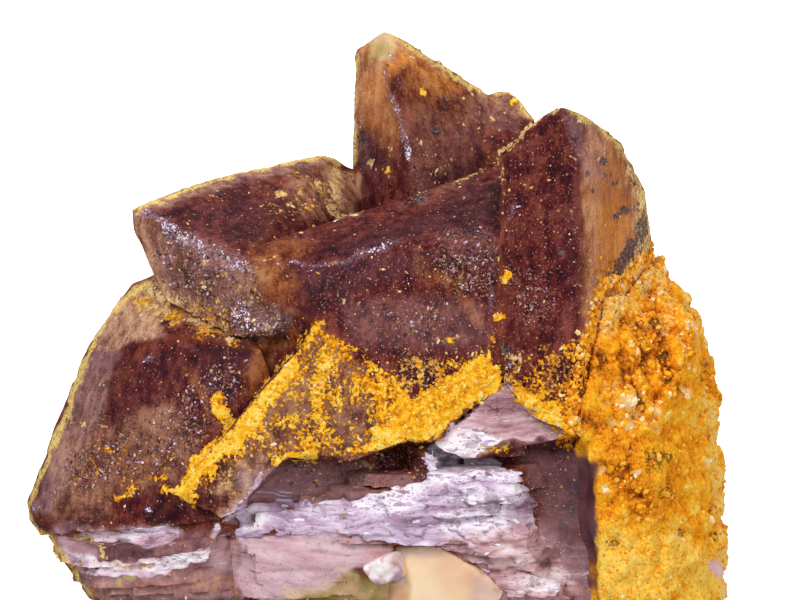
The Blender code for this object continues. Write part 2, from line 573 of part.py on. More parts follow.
def build_pockets(pockets):
    """What is cut from the crystals: chips off their edges, the matrix's room and the saw cut."""
    rng = random.Random(CHIP_SEED)
    for name, (start, end, count, half_length, depth) in CHIPPED_EDGES.items():
        chips_along(name, start, end, count, half_length, depth, pockets, rng)
    swollen_hull("pocket_matrix", MATRIX, MATRIX_GAP, pockets)
    swollen_hull("pocket_tooth", MATRIX_TOOTH, MATRIX_GAP, pockets)
    below_ground(pockets)


def main():
    clear_scene()
    parts = new_collection("rontgenite")
    grown = new_collection("grown_together")
    pockets = new_collection("pockets")
    seats = new_collection("seats")
    nodules = new_collection("nodules")
    teeth = new_collection("teeth")
    build_pockets(pockets)
    build_seats(seats)
    build_crystals(parts, grown, pockets)
    build_crust(parts, seats, nodules)
    build_matrix(parts, teeth)
    for collection in (grown, pockets, seats, nodules, teeth):
        hide_tools(collection)
    bpy.context.view_layer.update()


main()
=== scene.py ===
"""Finishes for a cluster of rontgenite crystals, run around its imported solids.

The dark crystals are a finely divided copy of their solid, with growth relief, chipped edges and
painted fields that say where they are amber, mauve, silky or dusted. Thin parted flakes, ochre
powder, glassy crystallites and dust lie on them as mesh. The ochre crust and the pale matrix are
copies of their own solids with their own grain, and loose crumbs lie on the crust and beside it.
"""

import math
from dataclasses import dataclass

import bmesh
import bpy
import numpy as np
from bpy.props import FloatProperty, FloatVectorProperty, PointerProperty
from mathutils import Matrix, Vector, noise
from mathutils.bvhtree import BVHTree
from mathutils.kdtree import KDTree


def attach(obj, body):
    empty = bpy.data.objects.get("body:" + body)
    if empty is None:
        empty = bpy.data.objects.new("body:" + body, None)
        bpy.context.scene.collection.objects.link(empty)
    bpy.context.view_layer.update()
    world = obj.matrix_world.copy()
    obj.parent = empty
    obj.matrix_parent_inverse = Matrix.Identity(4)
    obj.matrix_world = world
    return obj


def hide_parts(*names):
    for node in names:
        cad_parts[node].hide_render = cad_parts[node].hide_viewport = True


bl_info = {
    "name": "Rontgenite Cluster",
    "version": (1, 0, 0),
    "blender": (4, 5, 0),
    "location": "View3D > Sidebar > Rontgenite",
    "description": "Dresses the solids of a rontgenite cluster with crystal, silk, crust and dust",
    "category": "Object",
}

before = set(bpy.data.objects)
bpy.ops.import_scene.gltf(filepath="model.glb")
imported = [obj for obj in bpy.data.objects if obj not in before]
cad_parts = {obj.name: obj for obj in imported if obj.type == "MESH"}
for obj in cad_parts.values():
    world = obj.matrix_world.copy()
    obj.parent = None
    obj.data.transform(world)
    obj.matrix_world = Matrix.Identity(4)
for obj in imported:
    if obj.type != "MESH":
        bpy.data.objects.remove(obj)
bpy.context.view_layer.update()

MM = 0.001                     # every mesh here is made in millimetres and then scaled to metres
BODY = "root"

# ------ The grid that places are given on: columns and rows laid over the front view ------

GRID = 0.007                   # mm from one column or row to the next
GRID_COLUMN = 380.0            # the column that x = 0 falls on
GRID_ROW = 596.0               # the row that the origin falls on; rows count downwards
FRONT_TILT = math.radians(10)  # the front view looks down by this much
TOWARD = np.array((0.0, -math.cos(FRONT_TILT), math.sin(FRONT_TILT)))
UPWARD = np.array((0.0, math.sin(FRONT_TILT), math.cos(FRONT_TILT)))


def patch(strength, softness, *corners):
    """An area with an outline; softness is the width of its fading edge."""
    return "patch", strength, softness, corners


def streak(strength, width, *points):
    """A line that fades out over its width on both sides."""
    return "streak", strength, width, points


def spot(strength, radius, *centres):
    """Round spots of one radius."""
    return "spot", strength, radius, centres


# What is seen on the crystals from the front. A negative strength takes away.
CRYSTAL_FIELDS = {
    "ochre": [
        patch(0.53, 14, (316, 321), (336, 335), (365, 372), (385, 400), (400, 442), (387, 446),
              (353, 458), (287, 455), (262, 470), (240, 498), (221, 515), (178, 492), (200, 460),
              (235, 440), (255, 405), (296, 360)),
        streak(0.92, 13, (290, 366), (262, 403), (245, 425), (228, 442), (202, 460), (186, 486)),
        streak(0.35, 9, (314, 326), (302, 346), (288, 368)),
        streak(0.5, 9, (330, 352), (322, 380), (318, 400)),
        streak(0.85, 11, (218, 398), (220, 410), (226, 420)),
        streak(0.48, 8, (318, 328), (340, 343), (360, 374), (384, 400)),
        streak(0.6, 16, (380, 392), (392, 410), (394, 436)),
        patch(0.99, 7, (402, 402), (425, 390), (449, 376), (480, 354), (497, 364), (503, 381),
              (477, 404), (462, 413), (434, 439), (400, 442), (371, 449), (375, 425), (385, 408)),
        streak(0.95, 6, (288, 455), (300, 456), (316, 457)),
        patch(0.38, 26, (345, 345), (400, 352), (450, 352), (495, 338), (500, 362), (450, 380),
              (405, 398), (375, 380)),
        streak(0.6, 9, (370, 366), (392, 384), (404, 400)),
        patch(0.50, 18, (508, 384), (506, 366), (530, 352), (560, 346), (582, 338), (584, 434),
              (560, 428), (535, 412)),
        streak(0.75, 12, (516, 392), (540, 410), (566, 424), (582, 430)),
        patch(-0.35, 14, (266, 402), (305, 398), (312, 412), (290, 425), (264, 424)),
        patch(-0.25, 10, (536, 362), (566, 352), (574, 376), (546, 392)),
        patch(-0.40, 5, (158, 496), (214, 498), (212, 524), (164, 522)),
        patch(-0.22, 12, (328, 346), (350, 352), (392, 426), (368, 430), (345, 390)),
        patch(-0.45, 14, (330, 408), (362, 405), (368, 426), (345, 438), (330, 428)),
        patch(-0.3, 12, (270, 430), (298, 430), (296, 448), (262, 458)),
        patch(0.40, 14, (158, 300), (205, 300), (236, 318), (255, 345), (235, 352), (190, 336),
              (165, 322)),
        patch(0.42, 10, (128, 296), (150, 290), (160, 310), (140, 322)),
        patch(0.22, 12, (262, 172), (325, 166), (328, 214), (300, 222), (262, 218)),
        patch(0.20, 18, (60, 440), (110, 440), (170, 430), (215, 440), (190, 470), (140, 500),
              (70, 500)),
        streak(0.55, 5, (118, 502), (137, 486), (150, 480), (168, 474)),
        streak(0.45, 5, (96, 446), (112, 452)),
        streak(0.6, 8, (168, 488), (180, 492), (196, 500)),
        patch(0.34, 14, (585, 262), (660, 250), (668, 330), (640, 350), (584, 345)),
        patch(0.62, 12, (584, 330), (660, 300), (670, 440), (584, 440)),
        spot(0.9, 5, (421, 91), (514, 98), (505, 277), (499, 318), (448, 339), (387, 169)),
        streak(0.5, 4, (286, 456), (262, 472), (240, 500), (224, 518)),
        streak(0.5, 7, (480, 446), (505, 448)),
        patch(-0.72, 10, (268, 448), (264, 470), (242, 500), (224, 516), (196, 504), (216, 478),
              (238, 456)),
    ],
    "ember": [
        streak(0.9, 9, (318, 324), (345, 350), (364, 376), (384, 400), (400, 416)),
        patch(0.8, 14, (384, 396), (414, 400), (424, 424), (404, 436), (388, 420)),
        patch(0.65, 14, (414, 404), (440, 380), (486, 360), (500, 376), (470, 400), (430, 428)),
        spot(0.8, 8, (327, 404), (350, 440), (222, 400), (300, 448)),
        patch(0.7, 14, (510, 366), (540, 352), (584, 344), (584, 400), (550, 408), (520, 394)),
        patch(0.6, 12, (160, 296), (200, 306), (236, 330), (228, 348), (180, 330)),
        patch(0.5, 14, (60, 440), (150, 440), (170, 470), (120, 500), (60, 500)),
        patch(0.80, 12, (583, 130), (620, 140), (656, 220), (640, 330), (584, 340)),
        patch(0.85, 16, (354, 44), (372, 26), (396, 28), (420, 56), (400, 70), (392, 110), (376, 130),
              (354, 120)),
    ],
    # amber: the crystal's own amber where it is thin, with the glow of light coming through it painted
    # in
    "amber": [
        patch(0.26, 8, (251, 252), (275, 243), (300, 240), (318, 243), (296, 258), (262, 260)),
        patch(0.42, 20, (243, 256), (262, 258), (286, 264), (298, 282), (296, 300), (276, 296),
              (256, 280)),
        patch(0.95, 14, (356, 42), (372, 26), (394, 28), (420, 52), (400, 64), (388, 76), (380, 96),
              (357, 104)),
        patch(0.78, 24, (357, 60), (386, 70), (392, 100), (400, 135), (390, 150), (372, 128),
              (357, 120)),
        patch(0.30, 24, (400, 62), (440, 72), (480, 96), (470, 120), (440, 120), (410, 110)),
        patch(0.65, 14, (400, 42), (440, 64), (482, 88), (440, 90), (410, 70)),
        patch(0.74, 12, (583, 122), (618, 146), (640, 190), (652, 235), (640, 300), (600, 350),
              (583, 350)),
        patch(0.8, 12, (592, 210), (612, 196), (630, 206), (622, 262), (606, 290), (592, 270)),
        patch(0.34, 14, (240, 392), (252, 358), (278, 352), (272, 376), (250, 398)),
        patch(0.5, 10, (112, 300), (132, 288), (146, 296), (132, 316), (112, 320)),
        patch(0.4, 10, (134, 222), (152, 228), (166, 262), (160, 284), (146, 262)),
        patch(0.14, 16, (410, 110), (450, 120), (480, 140), (460, 190), (420, 200), (408, 150)),
        patch(0.22, 16, (150, 226), (200, 250), (250, 262), (252, 305), (200, 312), (165, 285)),
        streak(0.30, 8, (420, 262), (455, 290), (478, 322)),
        streak(0.35, 7, (186, 370), (202, 390), (214, 420)),
        patch(0.55, 6, (82, 585), (150, 575), (238, 574), (238, 596), (85, 598)),
        patch(0.55, 10, (258, 330), (296, 322), (298, 345), (262, 352)),
    ],
    "tan": [
        patch(0.36, 16, (318, 326), (340, 345), (366, 374), (385, 402), (398, 440), (353, 455),
              (290, 452), (262, 466), (240, 494), (210, 500), (235, 440), (256, 405), (292, 366)),
        patch(0.50, 10, (355, 48), (372, 28), (394, 28), (408, 44), (392, 60), (372, 72), (355, 74)),
        streak(0.4, 7, (358, 60), (358, 100), (358, 150)),
        patch(0.20, 16, (357, 62), (384, 64), (392, 100), (386, 124), (357, 112)),
        streak(0.35, 7, (404, 44), (440, 64), (484, 90)),
        patch(0.45, 8, (494, 92), (516, 94), (532, 112), (512, 112), (498, 106)),
        patch(0.22, 14, (583, 112), (612, 132), (636, 168), (642, 200), (600, 195), (583, 190)),
        patch(0.6, 12, (626, 168), (650, 200), (656, 250), (630, 285), (620, 262), (632, 215)),
        patch(0.30, 10, (583, 200), (596, 205), (598, 330), (583, 335)),
        # painted light: a light band along the upper-left block's top edge, beside the backlit rim
        streak(0.46, 7, (138, 211), (184, 193), (235, 177), (322, 156)),
        patch(0.60, 9, (132, 212), (150, 226), (164, 262), (160, 288), (144, 262)),
        patch(0.24, 16, (150, 222), (200, 246), (250, 262), (252, 305), (200, 312), (165, 285)),
        patch(0.18, 12, (236, 262), (262, 262), (272, 286), (246, 292)),
        patch(-0.30, 8, (256, 247), (304, 242), (300, 296), (268, 296)),
        patch(0.75, 9, (110, 300), (150, 294), (164, 334), (132, 342), (98, 350)),
        patch(0.35, 16, (190, 300), (250, 300), (292, 312), (270, 340), (220, 336)),
        patch(0.08, 12, (455, 88), (520, 94), (532, 118), (500, 130), (462, 112)),
        patch(0.35, 12, (285, 176), (330, 160), (345, 176), (343, 214), (300, 222)),
        patch(0.40, 8, (324, 162), (343, 172), (343, 214), (328, 214)),
        streak(0.5, 8, (484, 92), (512, 92), (530, 110)),
        patch(0.2, 10, (84, 586), (150, 577), (236, 577), (236, 598), (86, 598)),
        patch(0.3, 14, (40, 455), (95, 372), (110, 372), (90, 440), (60, 500)),
        patch(0.26, 18, (70, 450), (110, 420), (170, 400), (200, 430), (180, 480), (110, 500),
              (70, 500)),
        # painted light: the notch between the block and the spike, which lies in shade, is lightened
        patch(0.65, 6, (337, 166), (358, 170), (358, 216), (337, 218)),
        patch(0.62, 12, (132, 282), (156, 276), (180, 292), (204, 318), (176, 322), (134, 306)),
        patch(0.55, 12, (130, 212), (156, 218), (160, 244), (138, 246)),
        spot(0.5, 10, (108, 346)),
        streak(0.7, 7, (262, 458), (246, 482), (232, 506), (222, 518)),
        spot(0.7, 8, (170, 470), (226, 486), (242, 466)),
        patch(0.30, 14, (46, 492), (110, 488), (112, 520), (46, 520)),
    ],
    "milk": [
        patch(0.95, 5, (239, 540), (262, 536), (300, 532), (350, 534), (392, 545), (394, 556),
              (352, 568), (330, 584), (300, 598), (239, 598)),
        patch(0.7, 6, (48, 526), (75, 540), (100, 556), (88, 572), (70, 566)),
        patch(0.55, 6, (92, 532), (178, 524), (182, 534), (150, 541), (100, 541)),
        streak(0.7, 6, (214, 534), (228, 520), (240, 505)),
        patch(0.4, 8, (212, 546), (240, 536), (240, 575), (208, 570)),
        patch(0.34, 12, (84, 586), (110, 576), (236, 575), (236, 600), (86, 600)),
        patch(0.3, 14, (240, 470), (300, 462), (380, 470), (425, 480), (330, 500), (240, 505)),
        patch(0.22, 14, (520, 452), (590, 448), (596, 596), (565, 596), (545, 520)),
    ],
    "pale": [
        patch(0.55, 12, (286, 588), (330, 580), (354, 568), (366, 578), (396, 578), (404, 600),
              (280, 600)),
        # the spike's pale tip, its pale tone partly a painted highlight
        patch(0.72, 8, (370, 30), (392, 28), (398, 46), (384, 60), (368, 54)),
        streak(0.7, 3.5, (342, 566), (352, 572), (360, 576)),
        streak(0.5, 4, (363, 462), (372, 468)),
        streak(0.6, 3, (478, 448), (490, 450), (506, 444)),
        spot(0.8, 4, (120, 582), (130, 578)),
    ],
    "gleam": [
        patch(0.9, 6, (240, 510), (268, 507), (266, 528), (244, 528)),
        patch(0.9, 8, (352, 494), (392, 484), (426, 478), (424, 500), (392, 512), (356, 514)),
        patch(0.5, 10, (430, 468), (500, 468), (528, 484), (520, 505), (440, 500)),
        patch(0.8, 5, (455, 488), (480, 482), (492, 500), (470, 505)),
        patch(0.7, 8, (440, 512), (500, 506), (512, 530), (470, 542), (446, 532)),
        patch(0.9, 7, (434, 444), (450, 430), (476, 426), (500, 438), (476, 452), (446, 462)),
        patch(0.5, 8, (500, 570), (540, 572), (560, 592), (510, 594)),
        patch(0.7, 5, (60, 550), (110, 562), (160, 560), (214, 545), (206, 561), (150, 577), (90, 573)),
        streak(0.8, 5, (110, 566), (150, 566), (188, 556)),
        streak(0.7, 4, (80, 538), (120, 536), (146, 534)),
        patch(0.3, 14, (300, 536), (390, 546), (350, 562), (300, 560)),
        # painted light: the band under the overhang, which lies in its shadow, gets the lit sheen
        patch(0.9, 6, (426, 446), (448, 440), (482, 452), (496, 464), (520, 476), (430, 480)),
    ],
    # painted light: a thin bright line along the outlines, where light from behind shines through the
    # thin edges
    "rim": [
        streak(0.85, 4, (133, 209), (184, 189), (235, 171), (290, 159), (322, 153), (338, 160)),
        streak(0.6, 4, (354, 44), (370, 27), (388, 27)),
        streak(0.75, 4, (354, 44), (353, 100), (353, 160)),
        streak(0.72, 4, (388, 27), (404, 40), (440, 62), (482, 88), (514, 88), (532, 112)),
        streak(0.8, 4.5, (148, 283), (126, 295), (108, 312), (88, 345), (72, 392), (58, 430),
               (40, 470), (24, 508)),
        streak(0.75, 4.5, (24, 512), (34, 530), (58, 552), (76, 578), (86, 598)),
        streak(0.68, 4, (540, 112), (560, 108), (590, 122), (620, 148), (640, 176), (654, 232)),
    ],
    # mauve: a hazy, milky colour, partly painted sheen on faces turned to the light, as on the left
    # crystal's left strip
    "mauve": [
        patch(0.5, 12, (98, 345), (120, 345), (98, 420), (76, 470), (48, 512), (30, 512), (45, 470),
              (60, 430), (74, 395), (88, 355)),
        patch(0.62, 8, (88, 332), (116, 306), (150, 312), (162, 336), (130, 340), (100, 352)),
        streak(0.34, 10, (142, 211), (184, 193), (235, 177), (320, 157)),
        patch(0.5, 10, (134, 222), (152, 228), (166, 262), (160, 284), (146, 262)),
        patch(0.24, 16, (150, 230), (200, 240), (245, 262), (250, 330), (190, 330), (160, 290)),
        patch(0.4, 10, (560, 116), (585, 118), (606, 140), (600, 180), (584, 180)),
        patch(0.16, 12, (455, 90), (520, 96), (520, 130), (470, 120)),
        patch(0.10, 20, (357, 64), (386, 74), (400, 140), (390, 176), (357, 176)),
        patch(0.14, 24, (404, 110), (450, 110), (490, 130), (470, 190), (412, 200)),
        patch(0.85, 12, (434, 440), (452, 425), (477, 407), (505, 380), (535, 400), (582, 434),
              (545, 442), (500, 442), (476, 456), (436, 464)),
        patch(0.95, 18, (440, 540), (500, 526), (540, 520), (590, 560), (596, 604), (440, 604)),
        patch(0.20, 20, (340, 300), (480, 300), (490, 345), (400, 350), (350, 340)),
        patch(0.22, 10, (583, 150), (598, 155), (596, 330), (583, 330)),
        patch(0.5, 6, (60, 522), (150, 534), (220, 530), (238, 545), (238, 575), (80, 586),
              (40, 540)),
    ],
    "silk": [
        patch(0.95, 7, (239, 510), (262, 504), (300, 502), (350, 499), (395, 489), (425, 479),
              (440, 472), (500, 470), (525, 482), (535, 500), (533, 520), (560, 560), (582, 596),
              (510, 596), (500, 585), (470, 560), (440, 547), (354, 535), (266, 533), (240, 540)),
        patch(0.34, 16, (240, 486), (300, 480), (380, 476), (420, 474), (400, 492), (300, 506),
              (240, 514)),
        patch(0.9, 5, (434, 440), (452, 425), (477, 407), (505, 383), (530, 400), (578, 434),
              (545, 438), (500, 440), (476, 452), (440, 462)),
        patch(0.7, 6, (66, 534), (100, 530), (178, 526), (180, 542), (150, 546), (95, 542)),
        patch(0.8, 6, (59, 550), (110, 561), (160, 559), (200, 547), (214, 546), (206, 561),
              (150, 578), (100, 576), (70, 570)),
        streak(0.9, 4, (262, 474), (245, 500), (229, 516), (214, 530)),
        patch(0.34, 16, (530, 520), (590, 530), (598, 596), (560, 596)),
        patch(0.35, 10, (212, 540), (240, 520), (250, 560), (215, 570)),
        # painted light: the same band under the overhang gets the silky colour over its shadow
        patch(0.95, 5, (424, 448), (446, 440), (478, 452), (494, 462), (524, 476), (500, 488),
              (430, 486)),
    ],
    "fleck": [
        patch(0.12, 20, (20, 20), (720, 20), (720, 600), (20, 600)),
        patch(0.56, 12, (165, 222), (200, 242), (250, 258), (264, 290), (300, 328), (262, 348),
              (200, 330), (165, 290), (150, 250)),
        patch(0.25, 16, (300, 266), (400, 250), (490, 250), (500, 345), (400, 395), (340, 335)),
        patch(0.50, 14, (430, 232), (498, 225), (500, 300), (440, 290)),
        patch(0.45, 14, (380, 310), (440, 305), (450, 330), (400, 340)),
        patch(0.55, 16, (60, 450), (100, 440), (160, 405), (190, 380), (232, 356), (246, 370),
              (240, 402), (190, 460), (130, 480), (60, 502), (45, 506)),
        patch(0.45, 12, (408, 140), (440, 140), (450, 165), (430, 190), (412, 200)),
        patch(0.20, 16, (505, 160), (578, 130), (578, 330), (505, 340)),
        patch(0.40, 10, (508, 270), (540, 268), (560, 310), (520, 330)),
        patch(0.45, 12, (585, 270), (610, 280), (620, 330), (585, 345)),
        patch(0.30, 14, (585, 130), (620, 150), (650, 210), (640, 270), (585, 270)),
        patch(0.50, 12, (290, 458), (434, 446), (434, 480), (350, 495), (280, 490)),
        patch(0.35, 12, (505, 460), (590, 450), (596, 596), (560, 590)),
    ],
    "cream": [
        streak(0.78, 4.5, (537, 121), (526, 131), (513, 144), (502, 152)),
        streak(0.50, 4, (502, 152), (494, 163), (476, 173), (454, 184)),
        spot(0.70, 4, (206, 262), (226, 276), (240, 290), (214, 299), (233, 313), (276, 318),
             (250, 321), (200, 285), (188, 264), (247, 306), (268, 330), (228, 337), (178, 300),
             (196, 308), (258, 296), (300, 190), (290, 205), (316, 184), (278, 192), (262, 206)),
        patch(0.30, 14, (262, 186), (322, 166), (330, 212), (280, 222)),
        patch(0.34, 14, (258, 444), (298, 384), (322, 345), (350, 378), (352, 440), (300, 454)),
        spot(0.75, 3, (250, 297), (262, 326), (222, 325), (218, 300), (288, 338), (436, 337),
             (303, 372), (181, 236), (335, 296), (344, 302)),
        streak(0.5, 3, (424, 341), (440, 339), (458, 337)),
        streak(0.5, 3, (186, 318), (200, 322), (214, 330), (232, 338)),
        streak(0.45, 3, (502, 160), (503, 180), (502, 200)),
        patch(0.60, 10, (626, 170), (646, 192), (654, 232), (668, 264), (690, 296), (655, 318),
              (628, 300), (600, 334), (588, 322), (610, 285), (632, 262), (636, 215)),
        patch(0.45, 8, (606, 288), (634, 268), (650, 262), (644, 290), (618, 318)),
        patch(0.40, 10, (584, 250), (600, 262), (606, 330), (584, 345)),
        patch(0.42, 14, (512, 366), (540, 348), (582, 344), (582, 396), (540, 400)),
        streak(0.62, 4, (628, 168), (640, 184), (648, 204), (653, 232)),
        streak(0.42, 9, (335, 165), (336, 190), (333, 214)),
        spot(0.8, 2.5, (373, 138), (370, 162), (463, 121), (478, 129), (451, 133), (497, 115),
             (387, 169), (585, 124), (578, 121), (392, 148)),
        streak(0.9, 4, (338, 217), (352, 214)),
        patch(0.4, 8, (130, 300), (144, 298), (148, 318), (132, 322)),
        streak(0.5, 4, (96, 428), (108, 425)),
        streak(0.5, 4, (66, 424), (82, 424)),
        streak(0.8, 3, (75, 537), (90, 540), (108, 553)),
        streak(0.6, 3, (100, 552), (118, 566)),
        patch(0.48, 16, (394, 352), (440, 350), (450, 378), (424, 394), (400, 392)),
        patch(0.46, 10, (498, 350), (524, 350), (522, 386), (502, 388)),
        patch(0.50, 12, (128, 284), (160, 280), (206, 304), (246, 330), (200, 336), (136, 312)),
        patch(0.34, 8, (322, 164), (344, 172), (344, 214), (322, 214)),
        patch(0.40, 12, (205, 470), (240, 462), (238, 496), (205, 500)),
        spot(0.7, 4, (146, 292), (158, 298), (170, 300), (182, 306), (196, 314), (150, 306),
             (212, 322), (166, 312)),
    ],
    "glint": [
        streak(1.0, 4, (132, 211), (146, 214), (160, 220), (180, 237), (200, 250)),
        streak(0.62, 10, (166, 226), (192, 244), (222, 258), (246, 268)),
        patch(0.62, 10, (226, 298), (262, 306), (292, 318), (284, 334), (250, 336), (228, 320)),
        streak(0.35, 2, (258, 260), (275, 262), (294, 263)),
        streak(0.9, 3, (294, 263), (319, 266), (345, 262), (372, 250), (396, 240)),
        streak(0.4, 6, (345, 262), (383, 247), (400, 240)),
        streak(1.0, 2.5, (391, 89), (395, 102), (400, 120)),
        streak(0.9, 3.5, (400, 120), (405, 134), (411, 156)),
        streak(0.30, 5, (411, 156), (418, 176), (424, 200)),
        streak(0.6, 2.5, (385, 36), (389, 48), (394, 56)),
        streak(0.4, 2.5, (382, 66), (385, 80)),
        streak(0.8, 3, (493, 290), (490, 300), (489, 312)),
        streak(0.7, 3, (516, 203), (511, 212), (507, 219)),
        streak(0.8, 4, (232, 508), (226, 518), (216, 528)),
        patch(0.22, 14, (440, 234), (498, 228), (498, 262), (450, 262)),
        patch(0.25, 12, (185, 225), (250, 258), (250, 280), (200, 275)),
        spot(0.9, 4, (151, 359), (155, 457), (149, 507), (33, 508), (508, 363), (238, 252)),
    ],
    "shade": [
        patch(0.85, 10, (300, 258), (345, 240), (396, 222), (440, 204), (480, 186), (498, 182),
              (500, 215), (470, 228), (400, 240), (345, 258)),
        patch(0.55, 8, (358, 130), (374, 128), (386, 160), (380, 205), (358, 205)),
        spot(0.6, 6, (398, 80)),
        patch(0.6, 12, (300, 268), (400, 256), (420, 266), (360, 290), (312, 300)),
        patch(0.55, 12, (228, 296), (262, 304), (292, 316), (286, 336), (250, 338), (224, 320)),
        patch(0.45, 16, (175, 215), (240, 196), (300, 196), (300, 222), (250, 240), (232, 245)),
        patch(0.8, 4, (488, 444), (578, 436), (586, 446), (500, 454)),
        patch(0.24, 12, (470, 412), (505, 386), (534, 402), (566, 428), (530, 432), (490, 424)),
        patch(0.4, 10, (500, 446), (582, 444), (590, 480), (594, 540), (560, 548), (535, 500),
              (520, 480)),
        patch(0.45, 8, (150, 492), (215, 488), (222, 520), (180, 530), (150, 522)),
        patch(0.7, 4, (95, 545), (120, 540), (152, 546), (150, 556), (112, 562)),
        patch(0.45, 7, (563, 170), (579, 166), (579, 330), (566, 320)),
        patch(0.6, 12, (298, 270), (330, 268), (380, 256), (440, 250), (450, 266), (400, 284),
              (330, 298), (302, 290)),
        patch(0.42, 9, (172, 250), (200, 262), (214, 290), (204, 306), (180, 290)),
        patch(0.40, 9, (220, 262), (244, 270), (250, 296), (232, 292)),
        patch(0.40, 12, (410, 96), (450, 100), (450, 118), (420, 124)),
        patch(0.6, 10, (192, 346), (250, 343), (252, 362), (238, 396), (206, 412)),
        streak(0.8, 3, (222, 534), (245, 536), (268, 532)),
        patch(0.35, 14, (110, 360), (190, 350), (215, 372), (160, 400), (112, 420)),
        patch(0.7, 5, (402, 446), (414, 446), (430, 478), (418, 480)),
        streak(0.6, 4, (452, 540), (474, 548), (492, 562)),
        streak(0.55, 4, (503, 538), (526, 546), (540, 562)),
        streak(0.5, 3, (452, 496), (470, 500), (492, 510)),
        spot(0.7, 7, (546, 562), (556, 552)),
        spot(0.6, 4, (464, 516), (512, 560), (530, 580)),
        patch(0.75, 5, (480, 494), (498, 494), (504, 508), (492, 516), (482, 508)),
        patch(0.48, 14, (166, 246), (196, 256), (250, 300), (262, 340), (226, 336), (188, 300)),
        streak(0.6, 3, (446, 484), (458, 492), (472, 506)),
        streak(0.55, 3, (530, 500), (520, 506), (508, 506)),
        patch(0.88, 5, (440, 456), (470, 454), (502, 459), (504, 467), (470, 467), (440, 468)),
    ],
    "black": [
        spot(0.75, 4, (447, 96), (460, 139), (466, 134), (571, 141), (561, 254)),
        spot(0.80, 6, (437, 131), (600, 163), (504, 348)),
        spot(0.65, 4, (586, 174), (590, 190), (613, 184), (616, 180), (420, 200), (404, 204)),
        streak(0.55, 6, (362, 134), (366, 150), (364, 168)),
        spot(0.8, 3.5, (636, 178), (638, 183)),
        streak(0.5, 3, (642, 186), (647, 198), (650, 214)),
        streak(0.62, 6, (615, 221), (621, 212), (630, 211), (638, 205)),
        streak(0.60, 6, (642, 225), (648, 215)),
        streak(0.55, 7, (630, 243), (638, 239), (648, 228)),
        streak(0.55, 9, (611, 277), (618, 270), (625, 256), (632, 248)),
        streak(0.5, 6, (616, 272), (617, 287)),
        patch(0.30, 12, (602, 292), (622, 250), (640, 202), (652, 210), (644, 262), (622, 296)),
        patch(0.24, 8, (590, 158), (612, 160), (618, 190), (590, 196)),
        streak(0.6, 3, (661, 265), (668, 277)),
    ],
}

CRUST_FIELDS = {
    "cream": [
        patch(0.34, 14, (600, 296), (640, 256), (668, 262), (668, 290), (640, 336), (600, 340)),
        patch(0.35, 14, (668, 282), (694, 300), (706, 350), (690, 380), (672, 340)),
        patch(0.45, 14, (590, 376), (640, 372), (656, 436), (600, 430)),
        patch(0.25, 14, (640, 372), (690, 380), (690, 430), (650, 430)),
        spot(0.9, 5, (713, 520), (706, 463), (634, 472), (676, 535), (604, 487)),
        spot(0.7, 5, (628, 402), (655, 408), (600, 470), (690, 328), (625, 427), (683, 392)),
    ],
    "black": [
        patch(0.62, 7, (641, 452), (650, 446), (662, 454), (656, 470), (643, 476)),
        patch(0.60, 7, (655, 488), (666, 484), (668, 500), (656, 502)),
        spot(0.8, 5, (661, 355), (666, 375), (638, 394), (654, 322), (664, 457), (702, 374)),
        streak(0.8, 5, (634, 384), (642, 404)),
        patch(0.5, 6, (706, 366), (715, 364), (716, 386), (708, 386)),
        spot(0.55, 6, (681, 533), (716, 538), (730, 590), (613, 541)),
        streak(0.6, 5, (664, 478), (670, 490)),
        streak(0.5, 4, (596, 440), (610, 436), (624, 446), (636, 452)),
        streak(0.4, 6, (592, 340), (600, 380), (596, 400)),
    ],
    "bare": [
        patch(0.90, 14, (590, 272), (640, 250), (664, 262), (656, 286), (630, 304), (606, 336),
              (590, 344)),
        streak(0.5, 8, (664, 270), (668, 300), (664, 330)),
    ],
    "smooth": [
        patch(0.8, 20, (598, 520), (680, 530), (720, 560), (730, 600), (598, 600)),
        patch(0.35, 6, (572, 445), (600, 446), (614, 600), (584, 600)),
    ],
    # painted shade: the crust's pits and creases are darkened
    "deep": [
        patch(0.8, 16, (610, 330), (660, 300), (672, 372), (660, 400), (620, 396)),
        patch(0.9, 12, (620, 470), (640, 462), (652, 500), (640, 520), (622, 512)),
        patch(0.7, 10, (606, 446), (636, 444), (632, 470), (610, 480)),
        patch(0.6, 14, (664, 430), (700, 440), (706, 455), (672, 462)),
        patch(0.5, 12, (690, 400), (716, 405), (716, 450), (700, 450)),
        streak(0.9, 8, (640, 286), (648, 312), (658, 330), (656, 352)),
        streak(0.8, 8, (634, 380), (642, 400), (646, 420)),
        streak(0.7, 7, (614, 480), (606, 500), (602, 530)),
        streak(0.7, 7, (596, 350), (604, 380), (600, 410)),
        streak(0.6, 6, (690, 470), (704, 500), (700, 530)),
    ],
    # painted light: the right part of the crust, whose lumps turn from the light, is lightened
    "bright": [
        patch(0.9, 22, (672, 400), (714, 392), (726, 470), (734, 600), (690, 600), (692, 520),
              (676, 470)),
        patch(0.45, 20, (600, 520), (690, 520), (700, 600), (600, 600)),
    ],
    # painted light: the crust's thin right edge, lit from behind
    "rim": [
        streak(0.5, 6, (707, 392), (713, 420), (715, 450), (719, 490), (725, 520), (724, 560),
               (727, 600)),
        streak(0.45, 5, (660, 258), (672, 270), (690, 296), (704, 330), (712, 360)),
    ],
    "lilac": [
        streak(0.9, 5, (716, 560), (722, 572), (727, 598)),
    ],
}

